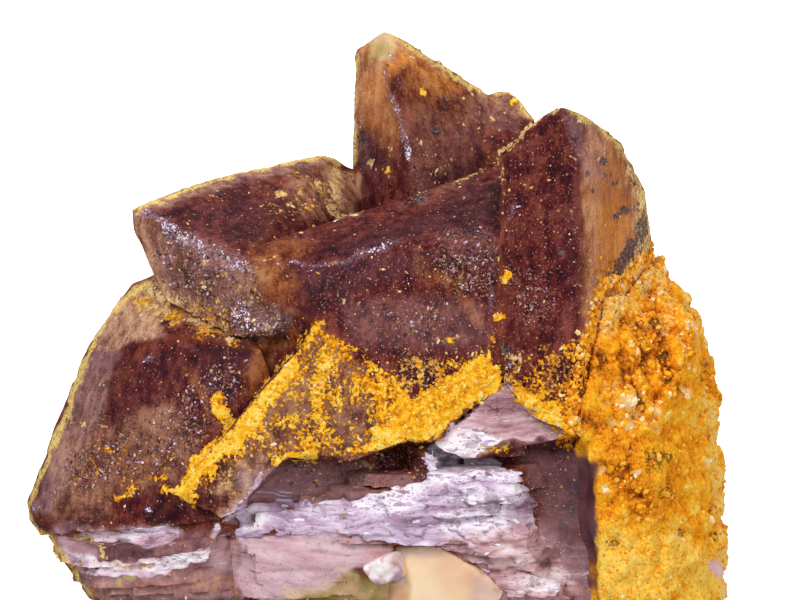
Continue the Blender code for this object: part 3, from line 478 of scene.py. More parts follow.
MATRIX_FIELDS = {
    "green": [patch(0.8, 10, (330, 576), (366, 572), (372, 600), (325, 600))],
    "pale": [patch(0.9, 3, (364, 548), (398, 548), (402, 580), (364, 576))],
    # mauve: painted shadow under the pale grain and along the matrix's top, and a mauve tinge at its
    # lower right
    "mauve": [streak(0.8, 5, (368, 577), (385, 582), (398, 574)),
              patch(0.3, 12, (470, 570), (515, 596), (470, 600)),
              patch(0.22, 14, (396, 540), (445, 540), (440, 556), (396, 560))],
    # brown: the matrix's brown colour; the streak down its left side is painted shadow where it meets
    # the crystals
    "brown": [patch(0.6, 12, (374, 584), (404, 578), (410, 604), (366, 604)),
              streak(0.35, 12, (398, 548), (402, 600)),
              streak(0.55, 7, (440, 546), (466, 556), (490, 574), (508, 592))],
}

# ------ Reading the grid and the fields ------

RAGGED = 5.0                   # how far the fields' outlines wander, in grid units
RAGGED_SIZE = 0.10             # mm over which they wander


def on_grid(points):
    """Columns and rows of points given in millimetres."""
    columns = GRID_COLUMN + points[:, 0] / GRID
    rows = GRID_ROW - (points @ UPWARD) / GRID
    return np.stack((columns, rows), axis=1)


def waves(points, size, octaves=2, shift=0.0):
    """Smooth noise from about -1 to 1, one value a point, that changes over that many mm."""
    offset = Vector((shift, shift * 0.7, -shift))
    return np.array([noise.fractal(Vector(point) / size + offset, 1.0, 2.0, octaves)
                     for point in points])


def domes(points, size, shift=0.0):
    """1 at the top of each round lump of about that size, down to 0 in the creases between."""
    offset = Vector((shift, -shift, shift * 0.4))
    near = [noise.voronoi(Vector(point) / size + offset)[0][0] for point in points]
    return np.clip(1.0 - np.array(near) ** 2, 0.0, 1.0)


def ease(values, low, high):
    share = np.clip((values - low) / (high - low), 0.0, 1.0)
    return share * share * (3.0 - 2.0 * share)


def line_distance(places, points):
    nearest = np.full(len(places), np.inf)
    for start, end in zip(points[:-1], points[1:]):
        start, along = np.array(start, float), np.subtract(end, start).astype(float)
        share = np.clip((places - start) @ along / max(along @ along, 1e-9), 0.0, 1.0)
        gap = np.linalg.norm(places - start - share[:, None] * along, axis=1)
        nearest = np.minimum(nearest, gap)
    return nearest


def within(places, corners):
    """True for the places inside an outline."""
    columns, rows = places.T
    found = np.zeros(len(places), bool)
    for (x1, y1), (x2, y2) in zip(corners, corners[1:] + corners[:1]):
        if y1 != y2:
            crosses = (y1 > rows) != (y2 > rows)
            found ^= crosses & (columns < (x2 - x1) * (rows - y1) / (y2 - y1) + x1)
    return found


def area_mask(places, area):
    kind, _, size, points = area
    if kind == "patch":
        edge = line_distance(places, points + points[:1])
        inward = np.where(within(places, points), edge, -edge)
        return ease(inward, -size / 2, size / 2)
    if kind == "streak":
        return 1.0 - ease(line_distance(places, points), size * 0.35, size)
    centres = [np.linalg.norm(places - np.array(centre), axis=1) for centre in points]
    return 1.0 - ease(np.min(centres, axis=0), size * 0.6, size * 1.2)


def read_field(places, areas):
    total = np.zeros(len(places))
    for area in areas:
        mask = area_mask(places, area) * abs(area[1])
        total = total + (1.0 - total) * mask if area[1] > 0 else total * (1.0 - mask)
    return total


# ------ Meshes ------

EDGE_STEP = 0.012              # mm between the points that stand for a sharp edge
FACING = (0.02, 0.22)          # from turned away to seen, as the cosine of the angle
FOOT_FADE = 0.03               # mm above the flat cut over which the relief sets in


def placed(name, data):
    """A new object in the scene."""
    thing = bpy.data.objects.new(name, data)
    bpy.context.scene.collection.objects.link(thing)
    return thing


def mesh_of(bm, name, scale=MM):
    bmesh.ops.scale(bm, vec=(scale,) * 3, verts=bm.verts)
    mesh = bpy.data.meshes.new(name)
    bm.to_mesh(mesh)
    bm.free()
    return mesh


def node_bmesh(name):
    """A CAD node's mesh in millimetres, with its corners welded."""
    bm = bmesh.new()
    bm.from_mesh(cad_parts[name].data)
    bmesh.ops.scale(bm, vec=(1 / MM,) * 3, verts=bm.verts)
    bmesh.ops.remove_doubles(bm, verts=bm.verts, dist=0.0005)
    return bm


def remeshed(bm, **settings):
    """The same form in small even triangles, by a Remesh modifier with those settings."""
    mesh = mesh_of(bm, "coarse", 1.0)
    thing = placed("coarse", mesh)
    modifier = thing.modifiers.new("even", 'REMESH')
    for name, value in settings.items():
        setattr(modifier, name, value)
    even = thing.evaluated_get(bpy.context.evaluated_depsgraph_get())
    fine = bmesh.new()
    fine.from_mesh(even.to_mesh())
    even.to_mesh_clear()
    bpy.data.objects.remove(thing)
    bpy.data.meshes.remove(mesh)
    bmesh.ops.triangulate(fine, faces=fine.faces)
    return fine


def refined(bm, chosen):
    """Split the edges whose two ends are both chosen, and keep the mesh in triangles."""
    edges = [edge for edge in bm.edges if all(chosen[vert.index] for vert in edge.verts)]
    bmesh.ops.subdivide_edges(bm, edges=edges, cuts=1)
    bmesh.ops.triangulate(bm, faces=bm.faces)


def sharp_edges(bm, least_angle, least_length):
    """Points along the outward edges where two flat faces meet."""
    found = []
    for edge in bm.edges:
        length = edge.calc_length()
        if len(edge.link_faces) == 2 and length > least_length and edge.is_convex:
            if edge.calc_face_angle() > least_angle:
                start, end = (vert.co for vert in edge.verts)
                steps = max(2, int(length / EDGE_STEP))
                found += [start.lerp(end, step / steps) for step in range(steps + 1)]
    return found


def distances_to(points, targets):
    tree = KDTree(len(targets))
    for index, target in enumerate(targets):
        tree.insert(target, index)
    tree.balance()
    return np.array([tree.find(point)[2] for point in points])


def surface_gap(points, name):
    """How far each point lies from the surface of a CAD node."""
    bm = node_bmesh(name)
    tree = BVHTree.FromBMesh(bm)
    bm.free()
    return np.array([tree.find_nearest(Vector(point))[3] for point in points])


def mesh_arrays(bm):
    """The places and the normals of a mesh's points."""
    bm.normal_update()
    bm.verts.index_update()
    points = np.array([vert.co[:] for vert in bm.verts])
    normals = np.array([vert.normal[:] for vert in bm.verts])
    return points, normals


def seen_from_front(bm, points, normals):
    """1 where a point shows in the front view, 0 where it faces away or is hidden."""
    tree = BVHTree.FromBMesh(bm)
    direction = Vector(TOWARD)
    facing = ease(normals @ TOWARD, *FACING)
    seen = np.zeros(len(points))
    for index in np.nonzero(facing > 0)[0]:
        start = Vector(points[index]) + Vector(normals[index]) * 0.01 + direction * 0.02
        if tree.ray_cast(start, direction)[0] is None:
            seen[index] = facing[index]
    return seen


def thinness(bm, points, normals, depth):
    """1 where the crystal is a thin edge, 0 where it is thicker than that depth."""
    tree = BVHTree.FromBMesh(bm)
    result = np.zeros(len(points))
    for index, (point, normal) in enumerate(zip(points, normals)):
        inward = -Vector(normal)
        hit = tree.ray_cast(Vector(point) + inward * 0.003, inward, depth)
        if hit[0] is not None:
            result[index] = 1.0 - hit[3] / depth
    return result


def fields_for(bm, areas, points, normals):
    """The painted fields of a piece, as seen from the front, and how much each point shows."""
    wander = np.stack((waves(points, RAGGED_SIZE), waves(points, RAGGED_SIZE, 2, 7.3)), axis=1)
    places = on_grid(points) + wander * RAGGED
    seen = seen_from_front(bm, points, normals)
    return {name: read_field(places, listed) * seen for name, listed in areas.items()}, seen


def lifted(bm, points, normals, lift):
    """Move each point along its normal, but never below the flat cut."""
    moved = points + normals * (lift * ease(points[:, 2], 0.0, FOOT_FADE))[:, None]
    moved[:, 2] = np.maximum(moved[:, 2], 0.0)
    for vert, place in zip(bm.verts, moved):
        vert.co = place


def dressed(mesh, name, fields, material, smooth=True):
    """Make a mesh in metres a piece that rides on the body, with its fields as attributes."""
    for label, values in fields.items():
        attribute = mesh.attributes.new(label, 'FLOAT', 'POINT')
        attribute.data.foreach_set("value", np.asarray(values, np.float32))
    mesh.polygons.foreach_set("use_smooth", np.full(len(mesh.polygons), smooth))
    mesh.materials.append(material)
    thing = placed(name, mesh)
    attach(thing, BODY)
    return thing


def piece_from(bm, name, fields, material, sharp_from):
    """The same for a bmesh in millimetres, with edges sharp from that many degrees."""
    thing = dressed(mesh_of(bm, name), name, fields, material)
    thing.data.set_sharp_from_angle(angle=math.radians(sharp_from))
    return thing


# ------ Shader helpers and shared node groups ------

def feed(entry, value):
    """Give a node's input a wire or a plain value. A colour may come without its last part."""
    if isinstance(value, Wire):
        value.tree.links.new(value.socket, entry)
    elif entry.type == 'RGBA' and len(value) == 3:
        entry.default_value = (*value, 1.0)
    else:
        entry.default_value = value


def put(tree, kind, inputs=(), **settings):
    """Add a node. Inputs are pairs of a socket's name or number and its value or its wire."""
    made = tree.nodes.new(kind)
    for name, value in settings.items():
        setattr(made, name, value)
    for key, value in inputs:
        feed(made.inputs[key], value)
    return made


class Wire:
    """What one output of a node gives. Each method strings a new node to it."""

    def __init__(self, node, output=0):
        self.tree, self.socket = node.id_data, node.outputs[output]

    def into(self, kind, inputs=(), entry=0, output=0, **settings):
        return Wire(put(self.tree, kind, [(entry, self), *inputs], **settings), output)

    def maths(self, operation, other=0.0):
        return self.into('ShaderNodeMath', [(1, other)], operation=operation)

    def __add__(self, other):
        return self.maths('ADD', other)

    def __sub__(self, other):
        return self.maths('SUBTRACT', other)

    def __mul__(self, other):
        return self.maths('MULTIPLY', other)

    def spread(self, low, high, kind='SMOOTHSTEP', start=0.0, end=1.0):
        """From start where the wire is low to end where it is high."""
        return self.into('ShaderNodeMapRange', [(1, low), (2, high), (3, start), (4, end)],
                         interpolation_type=kind)

    def noise(self, scale, detail=2.0, roughness=0.5, output="Fac"):
        """Noise at the place that the wire gives."""
        return self.into('ShaderNodeTexNoise', [("Scale", scale), ("Detail", detail),
                                                ("Roughness", roughness)], "Vector", output)

    def stretched(self, *factors):
        return self.into('ShaderNodeVectorMath', [(1, factors)], operation='MULTIPLY')

    def scaled(self, factor):
        return self.into('ShaderNodeVectorMath', [(3, factor)], operation='SCALE')

    def shifted(self, shift):
        return self.into('ShaderNodeVectorMath', [(1, shift)], operation='ADD')

    def under(self, share, above):
        """This colour with a share of another one laid over it."""
        return self.into('ShaderNodeMix', [(0, share), (7, above)], 6, 2, data_type='RGBA')

    def ramp(self, *stops):
        """Colours along the value: pairs of a place from 0 to 1 and a colour."""
        made = put(self.tree, 'ShaderNodeValToRGB', [(0, self)])
        elements = made.color_ramp.elements
        elements[0].position, elements[0].color = stops[0][0], (*stops[0][1], 1.0)
        elements[1].position, elements[1].color = stops[-1][0], (*stops[-1][1], 1.0)
        for place, colour in stops[1:-1]:
            elements.new(place).color = (*colour, 1.0)
        return Wire(made)

    def group(self, name, **inputs):
        """A shared group at this place. Its outputs come by name."""
        made = put(self.tree, 'ShaderNodeGroup', [("Place", self), *inputs.items()],
                   node_tree=bpy.data.node_groups.get(name) or GROUPS[name](name))
        return {socket.name: Wire(made, socket.name) for socket in made.outputs}


def new_group(name, outputs, **defaults):
    """A shader node group that takes a place and some numbers, and gives numbers."""
    tree = bpy.data.node_groups.new(name, 'ShaderNodeTree')
    tree.interface.new_socket(name="Place", in_out='INPUT', socket_type='NodeSocketVector')
    for label, default in defaults.items():
        socket = tree.interface.new_socket(name=label, in_out='INPUT', socket_type='NodeSocketFloat')
        socket.default_value = default
    for label in outputs:
        tree.interface.new_socket(name=label, in_out='OUTPUT', socket_type='NodeSocketFloat')
    entry = put(tree, 'NodeGroupInput')
    given = {label: Wire(entry, label) for label in ("Place", *defaults)}
    return tree, given, put(tree, 'NodeGroupOutput').inputs


def powder_group(name):
    """Powder that covers a share of the surface in grainy patches, lighter where it lies thick."""
    tree, given, result = new_group(name, ("Mask", "Tone"), Amount=0.5, Grain=42.0)
    place = given["Place"]
    level = place.noise(9.0, 3.0) * 0.45 + place.noise(given["Grain"], 2.5, 0.6) * 0.55
    reach = given["Amount"] * 1.25 - level.spread(0.36, 0.64, 'LINEAR')
    feed(result["Mask"], reach.spread(0.0, 0.26))
    speckle = place.noise(26.0, 4.0, 0.7).spread(0.3, 0.7)
    feed(result["Tone"], speckle * 0.62 + reach.spread(0.05, 0.55) * 0.38)
    return tree


def fleck_group(name):
    """Separate small flecks, each with its own tone."""
    tree, given, result = new_group(name, ("Mask", "Tone"), Density=0.3, Count=60.0, Size=0.3)
    cells = put(tree, 'ShaderNodeTexVoronoi', [("Vector", given["Place"]), ("Scale", given["Count"])])
    parts = put(tree, 'ShaderNodeSeparateColor', [(0, Wire(cells, "Color"))])
    chance, width, tone = (Wire(parts, k) for k in range(3))
    near = given["Size"] * (width + 0.5) - Wire(cells, "Distance")
    feed(result["Mask"], chance.maths('LESS_THAN', given["Density"]) * near.spread(0.0, 0.1))
    feed(result["Tone"], tone)
    return tree


def silk_group(name):
    """Fine drawn-out streaks, as on parted layers seen edge on."""
    tree, given, result = new_group(name, ("Streak", "Crack", "Sheen"), Fineness=30.0)
    bent = given["Place"].noise(3.0, output="Color")
    place = given["Place"].shifted(bent.scaled(0.16))
    feed(result["Streak"], place.stretched(0.09, 0.09, 1.0).noise(given["Fineness"], 4.0, 0.65))
    crack = (place.stretched(0.30, 0.30, 1.0).noise(13.0) - 0.5).maths('ABSOLUTE')
    cracked = place.noise(5.0, 3.0, 0.6).spread(0.46, 0.54)
    feed(result["Crack"], crack.spread(0.022, 0.006) * cracked)
    feed(result["Sheen"], place.stretched(0.4, 0.4, 1.0).noise(7.0, 3.0, 0.6))
    return tree


GROUPS = {"Powder cover": powder_group, "Flecks": fleck_group, "Silk streaks": silk_group}


def new_material(name, attributes=()):
    """A material's shader, the point on the piece in millimetres, and the piece's fields."""
    material = bpy.data.materials.new(name)
    material.use_nodes = True
    tree = material.node_tree
    place = Wire(put(tree, 'ShaderNodeTexCoord'), "Object").scaled(1 / MM)
    field = {label: Wire(put(tree, 'ShaderNodeAttribute', attribute_name=label), "Fac")
             for label in attributes}
    return material, tree.nodes["Principled BSDF"], place, field


def finish(shader, height, strength, depth, inputs):
    """Feed the shader, with a bump that is that many millimetres deep."""
    bump = height.into('ShaderNodeBump', [("Strength", strength), ("Distance", depth * MM)],
                       "Height", "Normal")
    for name, value in {**inputs, "Normal": bump}.items():
        feed(shader.inputs[name], value)


# ------ Materials ------

OCHRE_TONES = ((0.05, (0.32, 0.09, 0.01)), (0.32, (0.80, 0.30, 0.01)), (0.6, (0.98, 0.55, 0.015)),
               (1.0, (1.0, 0.82, 0.22)))
SILK_TONES = ((0.31, (0.19, 0.10, 0.15)), (0.43, (0.45, 0.30, 0.42)), (0.52, (0.66, 0.51, 0.69)),
              (0.65, (0.97, 0.92, 1.0)))
WARM_SILK_TONES = ((0.33, (0.24, 0.11, 0.11)), (0.45, (0.54, 0.29, 0.30)), (0.55, (0.76, 0.51, 0.52)),
                   (0.68, (0.98, 0.92, 0.95)))
MILK_TONES = ((0.3, (0.40, 0.22, 0.25)), (0.5, (0.68, 0.44, 0.50)), (0.7, (0.88, 0.70, 0.76)))
DUST_TONES = ((0.0, (0.48, 0.20, 0.04)), (0.4, (0.78, 0.46, 0.12)), (0.8, (0.90, 0.68, 0.30)),
              (1.0, (0.9, 0.84, 0.72)))
GLASSY_TONES = ((0.0, (0.05, 0.015, 0.03)), (0.35, (0.20, 0.10, 0.08)), (0.66, (0.46, 0.24, 0.10)),
                (0.84, (0.42, 0.23, 0.30)), (1.0, (0.74, 0.66, 0.86)))
# near-white tones of the chips that stand for glints: painted highlights
GLINT_CHIP_TONES = ((0.0, (0.66, 0.56, 0.80)), (1.0, (0.97, 0.94, 1.0)))
CRUMB_TONES = ((0.0, (0.40, 0.10, 0.005)), (0.35, (0.82, 0.28, 0.008)), (0.74, (1.0, 0.50, 0.02)),
               (0.93, (1.0, 0.66, 0.16)), (1.0, (0.98, 0.86, 0.64)))


def crystal_material(looks):
    material, shader, place, field = new_material("dark_glassy_crystal",
                                                  (*CRYSTAL_FIELDS, "edge", "crevice_shade"))
    broad, middle, fine = place.noise(3.2, 3.0, 0.6), place.noise(13.0), place.noise(55.0, 3.0, 0.7)
    drawn = place.stretched(1.0, 1.0, 0.22).noise(22.0, 3.0, 0.6)
    mottle = broad * 0.28 + fine * 0.27 + middle * 0.22 + drawn * 0.23
    colour = mottle.ramp((0.43, looks.deep_colour), (0.50, looks.crystal_colour),
                         (0.58, looks.lit_colour))
    # painted light: sharp, thin edges glow amber as if lit through
    colour = colour.under(field["edge"] * 0.35, looks.amber_colour)
    amber = mottle.ramp((0.43, (0.20, 0.045, 0.014)), (0.5, looks.amber_colour),
                        (0.58, (0.70, 0.32, 0.08)))
    colour = colour.under(field["amber"], amber.under(field["ember"] * 0.5, (0.86, 0.31, 0.06)))
    # mauve haze, partly painted sheen on faces turned to the light
    colour = colour.under(field["mauve"], mottle.ramp((0.41, (0.20, 0.10, 0.11)),
                                                      (0.58, looks.mauve_colour)))
    colour = colour.under(field["tan"], mottle.ramp(
        (0.43, (0.20, 0.08, 0.045)), (0.50, looks.haze_colour), (0.58, (0.74, 0.48, 0.26))))
    # painted highlight: a lilac glow along the glinting ridges
    colour = colour.under(field["glint"] * 0.48, fine.ramp((0.40, (0.10, 0.035, 0.07)),
                                                           (0.62, (0.50, 0.38, 0.52))))

    silk = place.group("Silk streaks")
    sheen = silk["Streak"] * 0.45 + silk["Sheen"] * 0.55 + field["gleam"] * 0.17
    colour = colour.under(field["milk"], sheen.ramp(*MILK_TONES))
    colour = colour.under(field["pale"], broad.ramp((0.4, (0.50, 0.42, 0.12)),
                                                    (0.6, (0.85, 0.62, 0.34))))
    silky = sheen.ramp(*SILK_TONES).under(field["mauve"], sheen.ramp(*WARM_SILK_TONES))
    silky = silky.under(silk["Crack"] * 0.6, (0.14, 0.07, 0.11))
    silk_mask = (field["silk"] + (silk["Streak"] - 0.5) * 0.9).spread(0.42, 0.58)
    colour = colour.under(silk_mask, silky)
    # painted shade in the cracks between the parted plates
    colour = colour.under(field["crevice_shade"] * 0.55, (0.10, 0.045, 0.09))
    colour = colour.under(field["shade"] * 0.75, mottle.ramp((0.42, (0.022, 0.006, 0.013)),
                                                             (0.60, (0.10, 0.030, 0.042))))

    flecks = place.group("Flecks", Density=field["fleck"], Count=85.0, Size=0.4)
    colour = colour.under(flecks["Mask"] * 0.7, flecks["Tone"].ramp(
        (0.0, (0.20, 0.07, 0.06)), (0.6, (0.38, 0.18, 0.10)), (0.90, (0.40, 0.22, 0.28)),
        (1.0, (0.90, 0.76, 0.56))))
    chips = place.group("Flecks", Density=0.06, Count=34.0, Size=0.30)
    colour = colour.under(chips["Mask"] * 0.8, chips["Tone"].ramp(
        (0.0, (0.34, 0.14, 0.05)), (0.7, (0.60, 0.34, 0.12)), (1.0, (0.9, 0.72, 0.40))))

    seam = place.group("Powder cover", Amount=field["cream"])
    colour = colour.under(seam["Mask"] * 0.85, seam["Tone"].ramp(
        (0.15, (0.38, 0.19, 0.06)), (0.5, (0.70, 0.44, 0.16)), (0.85, (0.93, 0.76, 0.42))))
    powder = place.group("Powder cover", Amount=field["ochre"])
    tone = powder["Tone"] - field["ember"] * 0.34
    colour = colour.under(powder["Mask"], tone.ramp(*OCHRE_TONES))
    inclusions = place.group("Powder cover", Amount=field["black"], Grain=44.0)
    colour = colour.under(inclusions["Mask"] * 0.85, fine.ramp((0.44, (0.020, 0.014, 0.026)),
                                                               (0.64, (0.22, 0.15, 0.15))))
    # painted light: the backlit glow along the outlines, laid on as colour
    colour = colour.under(field["rim"] * fine.spread(0.30, 0.55), (1.0, 0.74, 0.22))

    dusty = powder["Mask"].maths('MAXIMUM', seam["Mask"])
    gloss = fine.spread(0.35, 0.7, 'LINEAR', looks.gloss, looks.gloss + 0.22)
    height = fine * 0.5 + powder["Mask"] * (place.noise(90.0, 2.0, 0.6) + 0.6)
    finish(shader, height + silk_mask * silk["Streak"], 0.55, 0.012, {
        "Base Color": colour, "IOR": 1.5, "Specular IOR Level": 0.07,
        "Roughness": dusty.into('ShaderNodeMix', [(2, gloss), (3, 0.92)])})
    return material


def crust_material(looks):
    material, shader, place, field = new_material("ochre_crust_grain",
                                                  (*CRUST_FIELDS, "hollow_shade", "clean"))
    fine, broad = place.noise(34.0, 4.0, 0.7), place.noise(3.5, 3.0)
    grit = place.noise(62.0, 2.0, 0.6) - 0.42
    # darker in the hollows between the lumps: painted shade
    tone = fine * 0.7 + broad * 0.3 + field["smooth"] * grit - field["hollow_shade"] * 0.46 + 0.075
    # darker in the pits: painted shade
    # lighter where painted light lies on lumps turned from the light
    tone = tone - field["deep"] * 0.09 + field["bright"] * 0.10
    colour = tone.ramp((0.20, (0.13, 0.03, 0.006)), (0.32, (0.48, 0.12, 0.005)),
                       (0.42, looks.crust_colour), (0.53, (0.98, 0.47, 0.012)),
                       (0.66, (1.0, 0.68, 0.12)))
    colour = colour.under(field["bare"], fine.ramp(
        (0.36, (0.30, 0.09, 0.015)), (0.46, (0.82, 0.38, 0.05)), (0.55, (0.94, 0.64, 0.20)),
        (0.66, (0.98, 0.86, 0.52))))
    cream = place.group("Powder cover", Amount=field["cream"], Grain=26.0)
    colour = colour.under(cream["Mask"] * 0.7, cream["Tone"].ramp(
        (0.2, (0.85, 0.42, 0.06)), (0.5, (0.93, 0.66, 0.26)), (0.8, (0.97, 0.82, 0.55))))
    often = field["smooth"] * 0.22 + 0.12
    specks = place.group("Flecks", Density=often, Count=36.0, Size=0.36)
    colour = colour.under(specks["Mask"] * 0.6, specks["Tone"].ramp(
        (0.0, (0.20, 0.07, 0.02)), (0.5, (0.5, 0.2, 0.02)), (0.9, (0.98, 0.80, 0.40))))
    mottle = place.group("Powder cover", Amount=field["black"], Grain=48.0)
    colour = colour.under(mottle["Mask"] * 0.8, fine.ramp((0.40, (0.040, 0.018, 0.010)),
                                                          (0.62, (0.34, 0.16, 0.03))))
    # painted light: the backlit glow along the crust's edge, laid on as colour
    colour = colour.under(field["rim"] * fine.spread(0.30, 0.52), (1.0, 0.88, 0.30))
    colour = colour.under(field["lilac"], (0.80, 0.56, 0.66))
    colour = colour.under(field["clean"], broad.ramp((0.35, (0.080, 0.021, 0.028)),
                                                     (0.62, (0.17, 0.072, 0.085))))
    finish(shader, fine, 0.8, 0.02, {"Base Color": colour, "Roughness": 0.9,
                                     "Specular IOR Level": 0.1})
    return material


def matrix_material(looks):
    material, shader, place, field = new_material("pale_waxy_matrix", MATRIX_FIELDS)
    colour = place.noise(2.5).ramp((0.3, (0.84, 0.53, 0.33)), (0.55, looks.matrix_colour),
                                   (0.75, (0.93, 0.78, 0.52)))
    colour = colour.under(field["green"], (0.66, 0.52, 0.20))
    colour = colour.under(field["pale"], place.noise(14.0, 3.0, 0.6).ramp(
        (0.38, (0.62, 0.40, 0.48)), (0.55, (0.98, 0.90, 0.96))))
    # brown and mauve are partly painted shadow, under the pale grain and beside the crystals
    colour = colour.under(field["brown"], (0.52, 0.24, 0.10))
    colour = colour.under(field["mauve"], (0.45, 0.28, 0.50))
    specks = place.group("Flecks", Density=0.05, Count=9.0, Size=0.22)
    colour = colour.under(specks["Mask"] * 0.5, (0.55, 0.25, 0.06))
    finish(shader, place.noise(20.0, 3.0), 0.3, 0.01, {
        "Base Color": colour, "Roughness": 0.45, "Subsurface Weight": 0.3,
        "Subsurface Radius": (0.08 * MM, 0.05 * MM, 0.03 * MM)})
    return material


def grain_material(name, tones, roughness):
    """For loose grains: each grain's own tone, varied over its surface."""
    material, shader, place, field = new_material(name, ("tone",))
    tone = field["tone"] + (place.noise(50.0) - 0.5) * 0.5
    finish(shader, place.noise(70.0), 0.4, 0.006, {
        "Base Color": tone.ramp(*tones), "Roughness": roughness, "Specular IOR Level": 0.2})
    return material


def flake_material():
    material, shader, place, field = new_material("silky_flake", ("tone",))
    silk = place.group("Silk streaks", Fineness=36.0)
    tone = silk["Streak"] * 0.4 + silk["Sheen"] * 0.4 + field["tone"] * 0.24
    finish(shader, silk["Streak"], 0.5, 0.008, {"Base Color": tone.ramp(*SILK_TONES),
                                                "Roughness": 0.42})
    return material


# ------ Grains, flakes and crystallites ------

def small_form(make, **settings):
    """The corner places and the triangles of a form that all grains of a layer share."""
    bm = bmesh.new()
    make(bm, **settings)
    bmesh.ops.triangulate(bm, faces=bm.faces)
    bm.verts.ensure_lookup_table()
    points = np.array([vert.co[:] for vert in bm.verts])
    faces = np.array([[vert.index for vert in face.verts] for face in bm.faces])
    bm.free()
    return points, faces


LUMP = small_form(bmesh.ops.create_icosphere, subdivisions=1, radius=0.5)
BLOCK = small_form(bmesh.ops.create_cube, size=0.8)
FLAKE = small_form(bmesh.ops.create_cone, cap_ends=True, segments=7, radius1=0.5, radius2=0.46,
                   depth=1.0)


@dataclass
class Layer:
    """One layer of grains: its form and number, and how the grains lie on their host."""
    form: tuple
    count: int
    sizes: tuple               # mm across the smallest and the largest grain
    stretch: float             # the most that a grain is drawn out
    flatness: float
    tilt: float                # radians
    sink: float                # how deep a grain sits, as a share of its size
    seed: int
    along: tuple = None        # the direction that the grains point in, if they have one


class Host:
    """A triangle mesh that grains are strewn over, read in millimetres."""

    def __init__(self, name):
        self.mesh = bpy.data.objects[name].data
        self.points = self.read(self.mesh.vertices, "co", np.zeros(len(self.mesh.vertices) * 3)) / MM
        self.corners = self.read(self.mesh.polygons, "vertices",
                                 np.zeros(len(self.mesh.polygons) * 3, np.int32))
        first, second, third = (self.points[self.corners[:, k]] for k in range(3))
        cross = np.cross(second - first, third - first)
        self.area = np.linalg.norm(cross, axis=1) / 2
        self.normals = cross / np.maximum(self.area[:, None] * 2, 1e-12)

    @staticmethod
    def read(rows, name, values):
        rows.foreach_get(name, values)
        return values.reshape(-1, 3)

    def field(self, name):
        values = np.zeros(len(self.points), np.float32)
        self.mesh.attributes[name].data.foreach_get("value", values)
        return values


def unit(vectors):
    return vectors / np.maximum(np.linalg.norm(vectors, axis=1, keepdims=True), 1e-12)


def turns(axis, angles):
    """Rotation matrices about one of the axes 0, 1 or 2."""
    made = np.zeros((len(angles), 3, 3))
    first, second = (axis + 1) % 3, (axis + 2) % 3
    made[:, axis, axis] = 1.0
    made[:, first, first] = made[:, second, second] = np.cos(angles)
    made[:, second, first] = np.sin(angles)
    made[:, first, second] = -np.sin(angles)
    return made


SIZE_POWER = 2.2               # above 1, so that small grains are more common than large ones
SPIN_ALONG = 0.22              # radians that grains with a direction are turned out of it
BREADTH, THICKNESS, JITTER = (0.7, 1.0), (0.7, 1.3), (0.78, 1.22)
LEAN = 0.35                    # how much of a grain's tone comes from where it lies


def grains_on(host, name, density, layer, material, lean=None):
    """Strew grains over a host's faces, the more where the density is high.

    Lean gives each point of the host a share by which the tones of its grains are lightened.
    """
    rng = np.random.default_rng(layer.seed)
    count = layer.count
    weight = host.area * np.clip(density[host.corners].mean(axis=1), 0.0, None)
    chosen = rng.choice(len(weight), count, p=weight / weight.sum())
    shares = rng.random((count, 2))
    folded = shares.sum(axis=1) > 1.0
    shares[folded] = 1.0 - shares[folded]
    first, second, third = (host.points[host.corners[chosen, k]] for k in range(3))
    places = first + (second - first) * shares[:, :1] + (third - first) * shares[:, 1:]
    outward = host.normals[chosen]
    if layer.along is None:
        side, spin = np.where(np.abs(outward[:, :1]) < 0.7, (1.0, 0.0, 0.0), (0.0, 1.0, 0.0)), math.pi
    else:
        side, spin = np.broadcast_to(layer.along, outward.shape), SPIN_ALONG
    side = unit(side - outward * np.sum(side * outward, axis=1, keepdims=True))
    frames = np.stack((side, np.cross(outward, side), outward), axis=2)
    frames = frames @ turns(2, rng.uniform(-spin, spin, count))
    for axis in (0, 1):
        frames = frames @ turns(axis, rng.uniform(-layer.tilt, layer.tilt, count))
    smallest, largest = layer.sizes
    sizes = smallest + (largest - smallest) * rng.random(count) ** SIZE_POWER
    shape, faces = layer.form
    stretch = np.stack((rng.uniform(1.0, layer.stretch, count), rng.uniform(*BREADTH, count),
                        layer.flatness * rng.uniform(*THICKNESS, count)), axis=1) * sizes[:, None]
    jitter = rng.uniform(*JITTER, (count, len(shape), 1))
    grains = shape[None] * jitter * stretch[:, None]
    grains = np.einsum("nij,nkj->nki", frames, grains) + places[:, None]
    grains -= (outward * (sizes * layer.sink)[:, None])[:, None]
    grains[:, :, 2] = np.maximum(grains[:, :, 2], 0.0)
    all_faces = faces[None] + (np.arange(count) * len(shape))[:, None, None]
    mesh = bpy.data.meshes.new(name)
    mesh.from_pydata((grains.reshape(-1, 3) * MM).tolist(), [], all_faces.reshape(-1, 3).tolist())
    tones = rng.random(count)
    if lean is not None:
        share = lean[host.corners[chosen]].mean(axis=1)
        tones = np.minimum((1 - LEAN) * tones + LEAN * share, 1.0)
    return dressed(mesh, name, {"tone": np.repeat(tones, len(shape))}, material, smooth=False)


# ------ The pieces ------

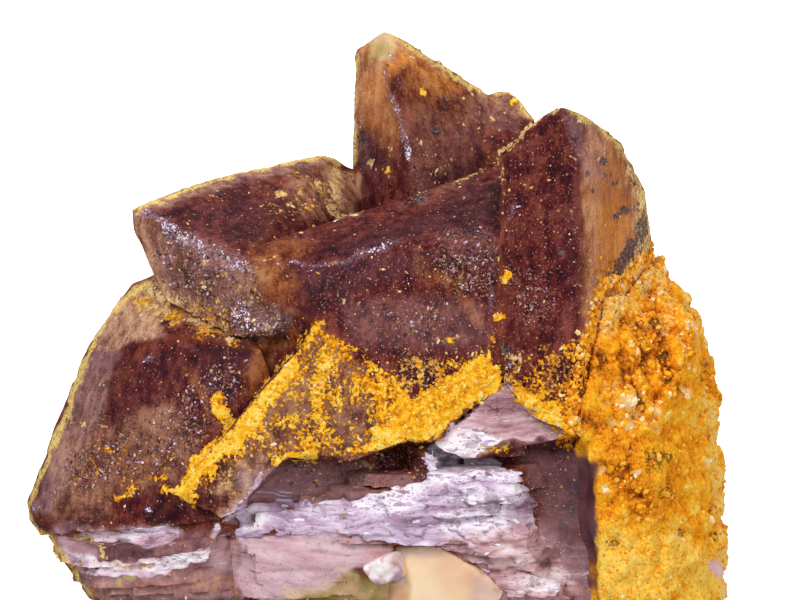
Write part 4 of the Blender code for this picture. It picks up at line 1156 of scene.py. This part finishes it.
CRYSTAL_SHARP, CRUST_SHARP, MATRIX_SHARP = 38, 60, 40      # degrees from which an edge is sharp
CRUST_GRAIN, MATRIX_GRAIN = 0.022, 0.012                   # mm across the faces of these meshes
EDGE_ANGLE = math.radians(24)  # least turn of an edge that counts as worn
EDGE_LENGTH = 0.16             # mm, its least length
EDGE_WIDTH = 0.05              # mm from such an edge over which it is worn
THIN = 0.35                    # mm of crystal that light comes through
CRUST_SIDE = (1.42, 1.62)      # mm from the middle over which the crust's relief sets in
CLEAN_SIDE = (1.49, 1.525)     # mm from the middle where the crust's clean strip ends
CLEAN_TOP = (1.17, 1.23)       # mm above the foot where the same strip ends
CONTACT = (0.045, 0.09)        # mm from the crystals over which the crust swells to meet them
CONTACT_SWELL = 0.044          # mm by which it does


def make_crystals(looks):
    bm = node_bmesh("crystal_cluster")
    edges = sharp_edges(bm, EDGE_ANGLE, EDGE_LENGTH)
    bm = remeshed(bm, mode='SHARP', octree_depth=7, scale=looks.fineness, sharpness=1.0,
                  use_remove_disconnected=False)
    refined(bm, mesh_arrays(bm)[1] @ TOWARD > 0.0)
    points, normals = mesh_arrays(bm)
    parted = read_field(on_grid(points), CRYSTAL_FIELDS["silk"] + CRYSTAL_FIELDS["milk"])
    refined(bm, (parted > 0.3) & (normals @ TOWARD > 0.15) & (points[:, 1] < -0.4))
    points, normals = mesh_arrays(bm)
    fields, seen = fields_for(bm, CRYSTAL_FIELDS, points, normals)
    edge = 1.0 - ease(distances_to(points, edges), 0.0, EDGE_WIDTH)
    thin = thinness(bm, points, normals, THIN)

    # the sides that the front view doesn't show
    hidden = 1.0 - seen
    low = 1.0 - ease(points[:, 2], 0.3, 1.5)
    drift = waves(points, 0.7, 3, 3.1)
    fields["ochre"] += hidden * np.clip(0.10 + 0.7 * ease(drift, 0.05, 0.5) * (0.4 + low), 0.0, 0.85)
    # on the hidden sides thin parts are amber: their colour, with painted light coming through them
    fields["amber"] += hidden * np.clip(thin * 0.9 + 0.35 * ease(waves(points, 0.9, 2, 5.0), 0.1, 0.6),
                                        0.0, 1.0)
    fields["mauve"] += hidden * 0.35 * ease(waves(points, 0.8, 2, 9.0), 0.0, 0.6)
    fields["fleck"] += hidden * 0.35
    fields["silk"] += hidden * 0.7 * ease(waves(points * (0.5, 0.5, 2.0), 0.5, 2, 2.0), 0.2, 0.5) * low
    # painted light: thin edges glow amber, and the edge field carries that glow into the material
    fields["amber"] = np.maximum(fields["amber"], 0.8 * thin * edge)
    fields["edge"] = edge * (0.5 + 0.5 * thin)

    # growth relief, then pitted parts and powder
    lift = 0.010 * waves(points, 0.45, 3, 1.0) + 0.004 * waves(points, 0.10, 2, 4.0)
    lift += ease(fields["fleck"], 0.45, 0.8) * 0.020 * (domes(points, 0.07) - 0.6)
    lift += fields["ochre"] * 0.012 * (domes(points, 0.05, 3.0) - 0.4)
    # the parted layers: drawn-out plates, fine threads and the cracks between them
    layered = np.maximum(fields["silk"], 0.30 * fields["milk"])
    plates = waves(points * (0.35, 0.35, 1.0), 0.11, 2, 12.0)
    threads = waves(points * (0.14, 0.14, 1.0), 0.026, 3, 6.0)
    cracked = 1.0 - ease(np.abs(plates), 0.0, 0.14)
    cracked *= ease(waves(points, 0.085, 2, 21.0), -0.05, 0.30)
    lift += layered * (0.016 * plates + 0.008 * threads)
    lift -= layered * cracked * (0.008 + 0.014 * fields["gleam"])
    # the cracks' share, which the material paints with shade
    fields["crevice_shade"] = layered * cracked
    # chipped edges
    lift -= edge * 0.014 * ease(waves(points, 0.12, 2, 8.0), 0.0, 0.5)
    lifted(bm, points, normals, lift)
    crystals = piece_from(bm, "crystals", fields, crystal_material(looks),
                          CRYSTAL_SHARP)
    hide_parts("crystal_cluster")


def make_crust(looks):
    bm = remeshed(node_bmesh("ochre_crust"), mode='VOXEL', voxel_size=CRUST_GRAIN)
    points, normals = mesh_arrays(bm)
    fields, _ = fields_for(bm, CRUST_FIELDS, points, normals)
    beside = 1.0 - ease(surface_gap(points, "crystal_cluster"), *CONTACT)
    ragged = points[:, 0] + 0.02 * waves(points, 0.12, 2, 17.0)
    fields["clean"] = (1.0 - ease(ragged, *CLEAN_SIDE)) * (1.0 - ease(points[:, 2], *CLEAN_TOP))
    # lumps of three sizes, a fine grain where it is smooth, and pits where it is black
    big, middle, small = domes(points, 0.30, 1.0), domes(points, 0.13, 2.0), domes(points, 0.06, 4.0)
    rough = 1.0 - 0.55 * fields["smooth"]
    lift = rough * (0.060 * (big - 0.6) + 0.085 * (middle - 0.62) + 0.040 * (small - 0.62))
    lift += 0.010 * fields["smooth"] * waves(points, 0.028, 2, 5.0)
    lift += 0.02 * waves(points, 0.4, 2)
    lift -= 0.05 * fields["black"] * ease(waves(points, 0.08), -0.2, 0.4)
    lift *= 1.0 - 0.4 * fields["bare"]
    lift = np.clip(lift, -0.09, 0.035) * ease(points[:, 0], *CRUST_SIDE) * (1.0 - beside)
    # how far a point lies down between the lumps, which the material paints with shade
    fields["hollow_shade"] = rough * np.clip(1.0 - (0.25 * big + 0.5 * middle + 0.25 * small), 0.0, 1.0)
    lifted(bm, points, normals, lift + CONTACT_SWELL * beside)
    crust = piece_from(bm, "crust", fields, crust_material(looks), CRUST_SHARP)
    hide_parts("ochre_crust")


def make_matrix(looks):
    bm = remeshed(node_bmesh("pale_matrix"), mode='VOXEL', voxel_size=MATRIX_GRAIN)
    points, normals = mesh_arrays(bm)
    fields, _ = fields_for(bm, MATRIX_FIELDS, points, normals)
    lift = 0.021 + 0.008 * waves(points, 0.25, 2) + 0.002 * waves(points, 0.06)
    lift += 0.02 * (1.0 - ease(points[:, 0], 0.10, 0.20)) * (points[:, 2] < 0.33)
    lift += fields["pale"] * (0.020 * (domes(points, 0.09, 5.0) - 0.7) + 0.012 * waves(points, 0.05, 2))
    lifted(bm, points, normals, lift)
    matrix = piece_from(bm, "matrix", fields, matrix_material(looks), MATRIX_SHARP)
    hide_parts("pale_matrix")


def make_crystal_grains():
    """Powder, dust, crystallites, near-white chips that stand for painted glints, and silky flakes on
    the crystals.
    """
    host = Host("crystals")
    ochre, silk, fleck, glint = (host.field(name) for name in ("ochre", "silk", "fleck", "glint"))
    grains_on(host, "ochre_powder", ease(ochre, 0.30, 0.9) + 0.02 * ease(ochre, 0.1, 0.3),
              Layer(LUMP, 6400, (0.012, 0.040), stretch=1.4, flatness=0.6, tilt=0.6, sink=0.10, seed=31),
              grain_material("ochre_powder", OCHRE_TONES, 0.9),
              lean=ease(ochre, 0.5, 1.0))
    grains_on(host, "dust_specks",
              0.06 + fleck * 0.25 + host.field("cream") + ease(ochre, 0.15, 0.4) * 0.6,
              Layer(LUMP, 3000, (0.009, 0.034), stretch=1.9, flatness=0.5, tilt=0.6, sink=0.12, seed=32),
              grain_material("dust", DUST_TONES, 0.7))
    grains_on(host, "crystallites",
              ease(fleck, 0.45, 0.95) * (1 - silk) * (1 - ease(ochre, 0.4, 0.8)),
              Layer(BLOCK, 3800, (0.006, 0.026), stretch=1.6, flatness=0.5, tilt=0.8, sink=0.1, seed=33),
              grain_material("glassy_crystallite", GLASSY_TONES, 0.25))
    # painted highlights: near-white chips strewn along the glinting ridges
    uneven = ease(waves(host.points, 0.10, 2, 15.0), -0.3, 0.5)
    grains_on(host, "ridge_glints", ease(glint, 0.25, 0.9) * (0.1 + uneven),
              Layer(FLAKE, 520, (0.005, 0.018), stretch=2.8, flatness=0.4, tilt=0.6, sink=0.10, seed=34),
              grain_material("bright_chip", GLINT_CHIP_TONES, 0.15))
    inner = ease(host.points[:, 0], -0.8, -0.6)
    shade, gleam = host.field("shade"), host.field("gleam")
    grains_on(host, "silk_flakes", ease(silk, 0.8, 0.98) * (1 - shade) * (0.12 + gleam) * inner,
              Layer(FLAKE, 650, (0.010, 0.040), stretch=3.6, flatness=0.12, tilt=0.10, sink=0.05,
                    seed=35, along=(1.0, 0.0, -0.10)), flake_material())


def make_crumbs():
    """Crumbs on the crust, and more along the seam between it and the crystals."""
    host = Host("crust")
    crumb = grain_material("crust_crumb", CRUMB_TONES, 0.9)
    rough = (1.0 - 0.45 * host.field("smooth")) * (1.0 - 0.4 * host.field("bare"))
    rough *= 1.0 - host.field("clean")
    # crumbs are lighter where the crust is not hollow: painted light on the tops and shade in the
    # hollows
    grains_on(host, "crust_crumbs", rough * ease(host.points[:, 0], 1.5, 1.62),
              Layer(LUMP, 7000, (0.016, 0.070), stretch=1.4, flatness=0.8, tilt=0.6, sink=0.25, seed=36),
              crumb, lean=1.0 - host.field("hollow_shade") + 1.2 * host.field("cream"))
    crystals = Host("crystals")
    gap = distances_to(crystals.points, [Vector(point) for point in host.points])
    beside = ease(gap, 0.036, 0.05) * (1.0 - ease(gap, 0.07, 0.17))
    grains_on(crystals, "seam_crumbs", beside * ease(crystals.points[:, 2], 1.15, 1.3),
              Layer(LUMP, 1900, (0.014, 0.06), stretch=1.4, flatness=0.8, tilt=0.7, sink=0.1, seed=37),
              crumb)


# ------ Stage ------

VIEW_WIDTH = 800 * GRID        # mm that the front view takes in, from left to right
VIEW_DISTANCE = 60.0           # mm from the camera to the cluster
VIEW_CENTRE = (0.14, -0.60, 2.21)
FLOOR_HALF_WIDTH, FLOOR_FRONT, FLOOR_BACK = 400.0, -300.0, 160.0
FLOOR_RISE, FLOOR_BEND = 200.0, 60.0
LIGHTS = (("key", (-28, -42, 44), 1.0, 22, (1.0, 0.97, 1.0)),
          ("fill", (40, -40, 18), 0.5, 30, (1.0, 0.97, 0.92)),
          ("back", (10, 20, 55), 0.35, 30, (1.0, 0.96, 0.9)))


def make_floor(colour):
    """A level floor that sweeps up into a wall behind."""
    bm = bmesh.new()
    profile = [(FLOOR_FRONT, 0.0), (FLOOR_BACK - FLOOR_BEND, 0.0)]
    profile += [(FLOOR_BACK - FLOOR_BEND + FLOOR_BEND * math.sin(step * math.pi / 16),
                 FLOOR_BEND - FLOOR_BEND * math.cos(step * math.pi / 16)) for step in range(1, 9)]
    profile.append((FLOOR_BACK, FLOOR_RISE))
    rows = [[bm.verts.new((side * FLOOR_HALF_WIDTH, y, z)) for y, z in profile] for side in (-1, 1)]
    for k in range(len(profile) - 1):
        bm.faces.new((rows[0][k], rows[1][k], rows[1][k + 1], rows[0][k + 1]))
    mesh = mesh_of(bm, "floor")
    mesh.polygons.foreach_set("use_smooth", np.ones(len(mesh.polygons), bool))
    material, shader, *_ = new_material("white_paper")
    for name, value in {"Base Color": colour, "Roughness": 0.9, "Emission Color": (1.0, 1.0, 1.0),
                        "Emission Strength": 0.85}.items():
        feed(shader.inputs[name], value)
    mesh.materials.append(material)
    floor = placed("floor", mesh)
    floor.visible_glossy = False
    floor.visible_diffuse = False


def aimed(thing, place, direction):
    """Put a light or a camera at a place in millimetres, and point it."""
    thing.location = Vector(place) * MM
    thing.rotation_mode = 'QUATERNION'
    thing.rotation_quaternion = Vector(direction).to_track_quat('-Z', 'Y')


def make_light(name, place, power, size, colour):
    lamp = bpy.data.lights.new(name, 'AREA')
    lamp.energy, lamp.size, lamp.color = power, size * MM, colour
    aimed(placed(name, lamp), place, Vector(VIEW_CENTRE) - Vector(place))


def make_camera():
    camera = bpy.data.cameras.new("camera")
    camera.sensor_width = 36.0
    camera.lens = camera.sensor_width * VIEW_DISTANCE / VIEW_WIDTH
    camera.clip_start, camera.clip_end = MM, 1.0
    thing = placed("camera", camera)
    aimed(thing, Vector(VIEW_CENTRE) + Vector(TOWARD) * VIEW_DISTANCE, -TOWARD)
    bpy.context.scene.camera = thing


def make_world(strength):
    """Even light from all around, and plain white where the camera sees past the floor."""
    world = bpy.data.worlds.new("studio")
    world.use_nodes = True
    tree = world.node_tree
    studio = tree.nodes["Background"]
    feed(studio.inputs["Color"], (1.0, 0.98, 0.99))
    feed(studio.inputs["Strength"], strength)
    paper = put(tree, 'ShaderNodeBackground', [("Color", (1.0, 1.0, 1.0)), ("Strength", 1.0)])
    seen = Wire(put(tree, 'ShaderNodeLightPath'), "Is Camera Ray")
    mixed = seen.into('ShaderNodeMixShader', [(1, Wire(studio)), (2, Wire(paper))])
    feed(tree.nodes["World Output"].inputs["Surface"], mixed)
    bpy.context.scene.world = world


# ------ Settings, operators and panel ------

def colour_property(name, description, default):
    return FloatVectorProperty(name=name, description=description, default=default, subtype='COLOR',
                               size=3, min=0.0, max=1.0)


class CrystalLooks(bpy.types.PropertyGroup):
    crystal_colour: colour_property("Crystal", "Body colour of the crystals", (0.104, 0.0145, 0.0135))
    deep_colour: colour_property("Deep crystal", "Colour in the darkest mottles", (0.028, 0.004, 0.009))
    lit_colour: colour_property("Lit crystal", "Colour in the lightest mottles", (0.215, 0.053, 0.037))
    amber_colour: colour_property("Amber", "Colour of thin, lit edges", (0.46, 0.14, 0.026))
    haze_colour: colour_property("Haze", "Colour of the hazy light-brown parts", (0.48, 0.23, 0.14))
    mauve_colour: colour_property("Mauve", "Colour of the hazy, milky faces", (0.52, 0.30, 0.31))
    gloss: FloatProperty(name="Gloss", description="Roughness of the glassiest faces", default=0.42,
                         min=0.05, max=1.0, subtype='FACTOR')
    fineness: FloatProperty(name="Fineness", description="How fine the mesh is", default=0.75,
                            min=0.3, max=0.95, subtype='FACTOR')


class CrustLooks(bpy.types.PropertyGroup):
    crust_colour: colour_property("Crust", "Body colour of the ochre crust", (0.90, 0.30, 0.009))
    matrix_colour: colour_property("Matrix", "Body colour of the pale matrix", (0.98, 0.73, 0.47))


class StageLooks(bpy.types.PropertyGroup):
    floor_colour: colour_property("Floor", "Colour of the paper sweep", (0.92, 0.92, 0.92))
    daylight: FloatProperty(name="Daylight", description="Strength of the even light around",
                            default=0.46, min=0.0, max=10.0)
    key_power: FloatProperty(name="Key light", description="Power of the soft key light",
                             default=0.023, min=0.0, max=10.0, unit='POWER')


class RONTGENITE_OT_crystals(bpy.types.Operator):
    """Dress the dark crystals"""
    bl_idname = "rontgenite.crystals"
    bl_label = "Crystals"

    def execute(self, context):
        make_crystals(context.scene.crystal_looks)
        return {'FINISHED'}


class RONTGENITE_OT_crust(bpy.types.Operator):
    """Dress the ochre crust"""
    bl_idname = "rontgenite.crust"
    bl_label = "Ochre crust"

    def execute(self, context):
        make_crust(context.scene.crust_looks)
        return {'FINISHED'}


class RONTGENITE_OT_matrix(bpy.types.Operator):
    """Dress the pale matrix"""
    bl_idname = "rontgenite.matrix"
    bl_label = "Pale matrix"

    def execute(self, context):
        make_matrix(context.scene.crust_looks)
        return {'FINISHED'}


class RONTGENITE_OT_grains(bpy.types.Operator):
    """Strew powder, dust, crystallites and flakes over the crystals and crumbs over the crust"""
    bl_idname = "rontgenite.grains"
    bl_label = "Grains and flakes"

    def execute(self, context):
        make_crystal_grains()
        make_crumbs()
        return {'FINISHED'}


class RONTGENITE_OT_stage(bpy.types.Operator):
    """Set up the floor, the lights and the camera"""
    bl_idname = "rontgenite.stage"
    bl_label = "Stage"

    def execute(self, context):
        looks = context.scene.stage_looks
        make_floor(looks.floor_colour)
        make_world(looks.daylight)
        for name, place, share, size, colour in LIGHTS:
            make_light(name, place, looks.key_power * share, size, colour)
        make_camera()
        context.scene.view_settings.view_transform = 'Standard'
        return {'FINISHED'}


class RONTGENITE_PT_panel(bpy.types.Panel):
    """Everything that dresses the cluster"""
    bl_idname = "RONTGENITE_PT_panel"
    bl_label = "Rontgenite cluster"
    bl_space_type = 'VIEW_3D'
    bl_region_type = 'UI'
    bl_category = "Rontgenite"

    def draw(self, context):
        for group in (context.scene.crystal_looks, context.scene.crust_looks,
                      context.scene.stage_looks):
            for name in group.bl_rna.properties.keys():
                if name not in ("rna_type", "name"):
                    self.layout.prop(group, name)
        for step in STEPS:
            self.layout.operator(step.bl_idname)


STEPS = (RONTGENITE_OT_crystals, RONTGENITE_OT_crust, RONTGENITE_OT_matrix, RONTGENITE_OT_grains,
         RONTGENITE_OT_stage)
CLASSES = (CrystalLooks, CrustLooks, StageLooks, *STEPS, RONTGENITE_PT_panel)


def register():
    for item in CLASSES:
        bpy.utils.register_class(item)
    bpy.types.Scene.crystal_looks = PointerProperty(type=CrystalLooks)
    bpy.types.Scene.crust_looks = PointerProperty(type=CrustLooks)
    bpy.types.Scene.stage_looks = PointerProperty(type=StageLooks)


def unregister():
    for name in ("crystal_looks", "crust_looks", "stage_looks"):
        delattr(bpy.types.Scene, name)
    for item in reversed(CLASSES):
        bpy.utils.unregister_class(item)


def main():
    register()
    for step in (bpy.ops.rontgenite.crystals, bpy.ops.rontgenite.crust, bpy.ops.rontgenite.matrix,
                 bpy.ops.rontgenite.grains, bpy.ops.rontgenite.stage):
        step()


if __name__ == "__main__":
    main()
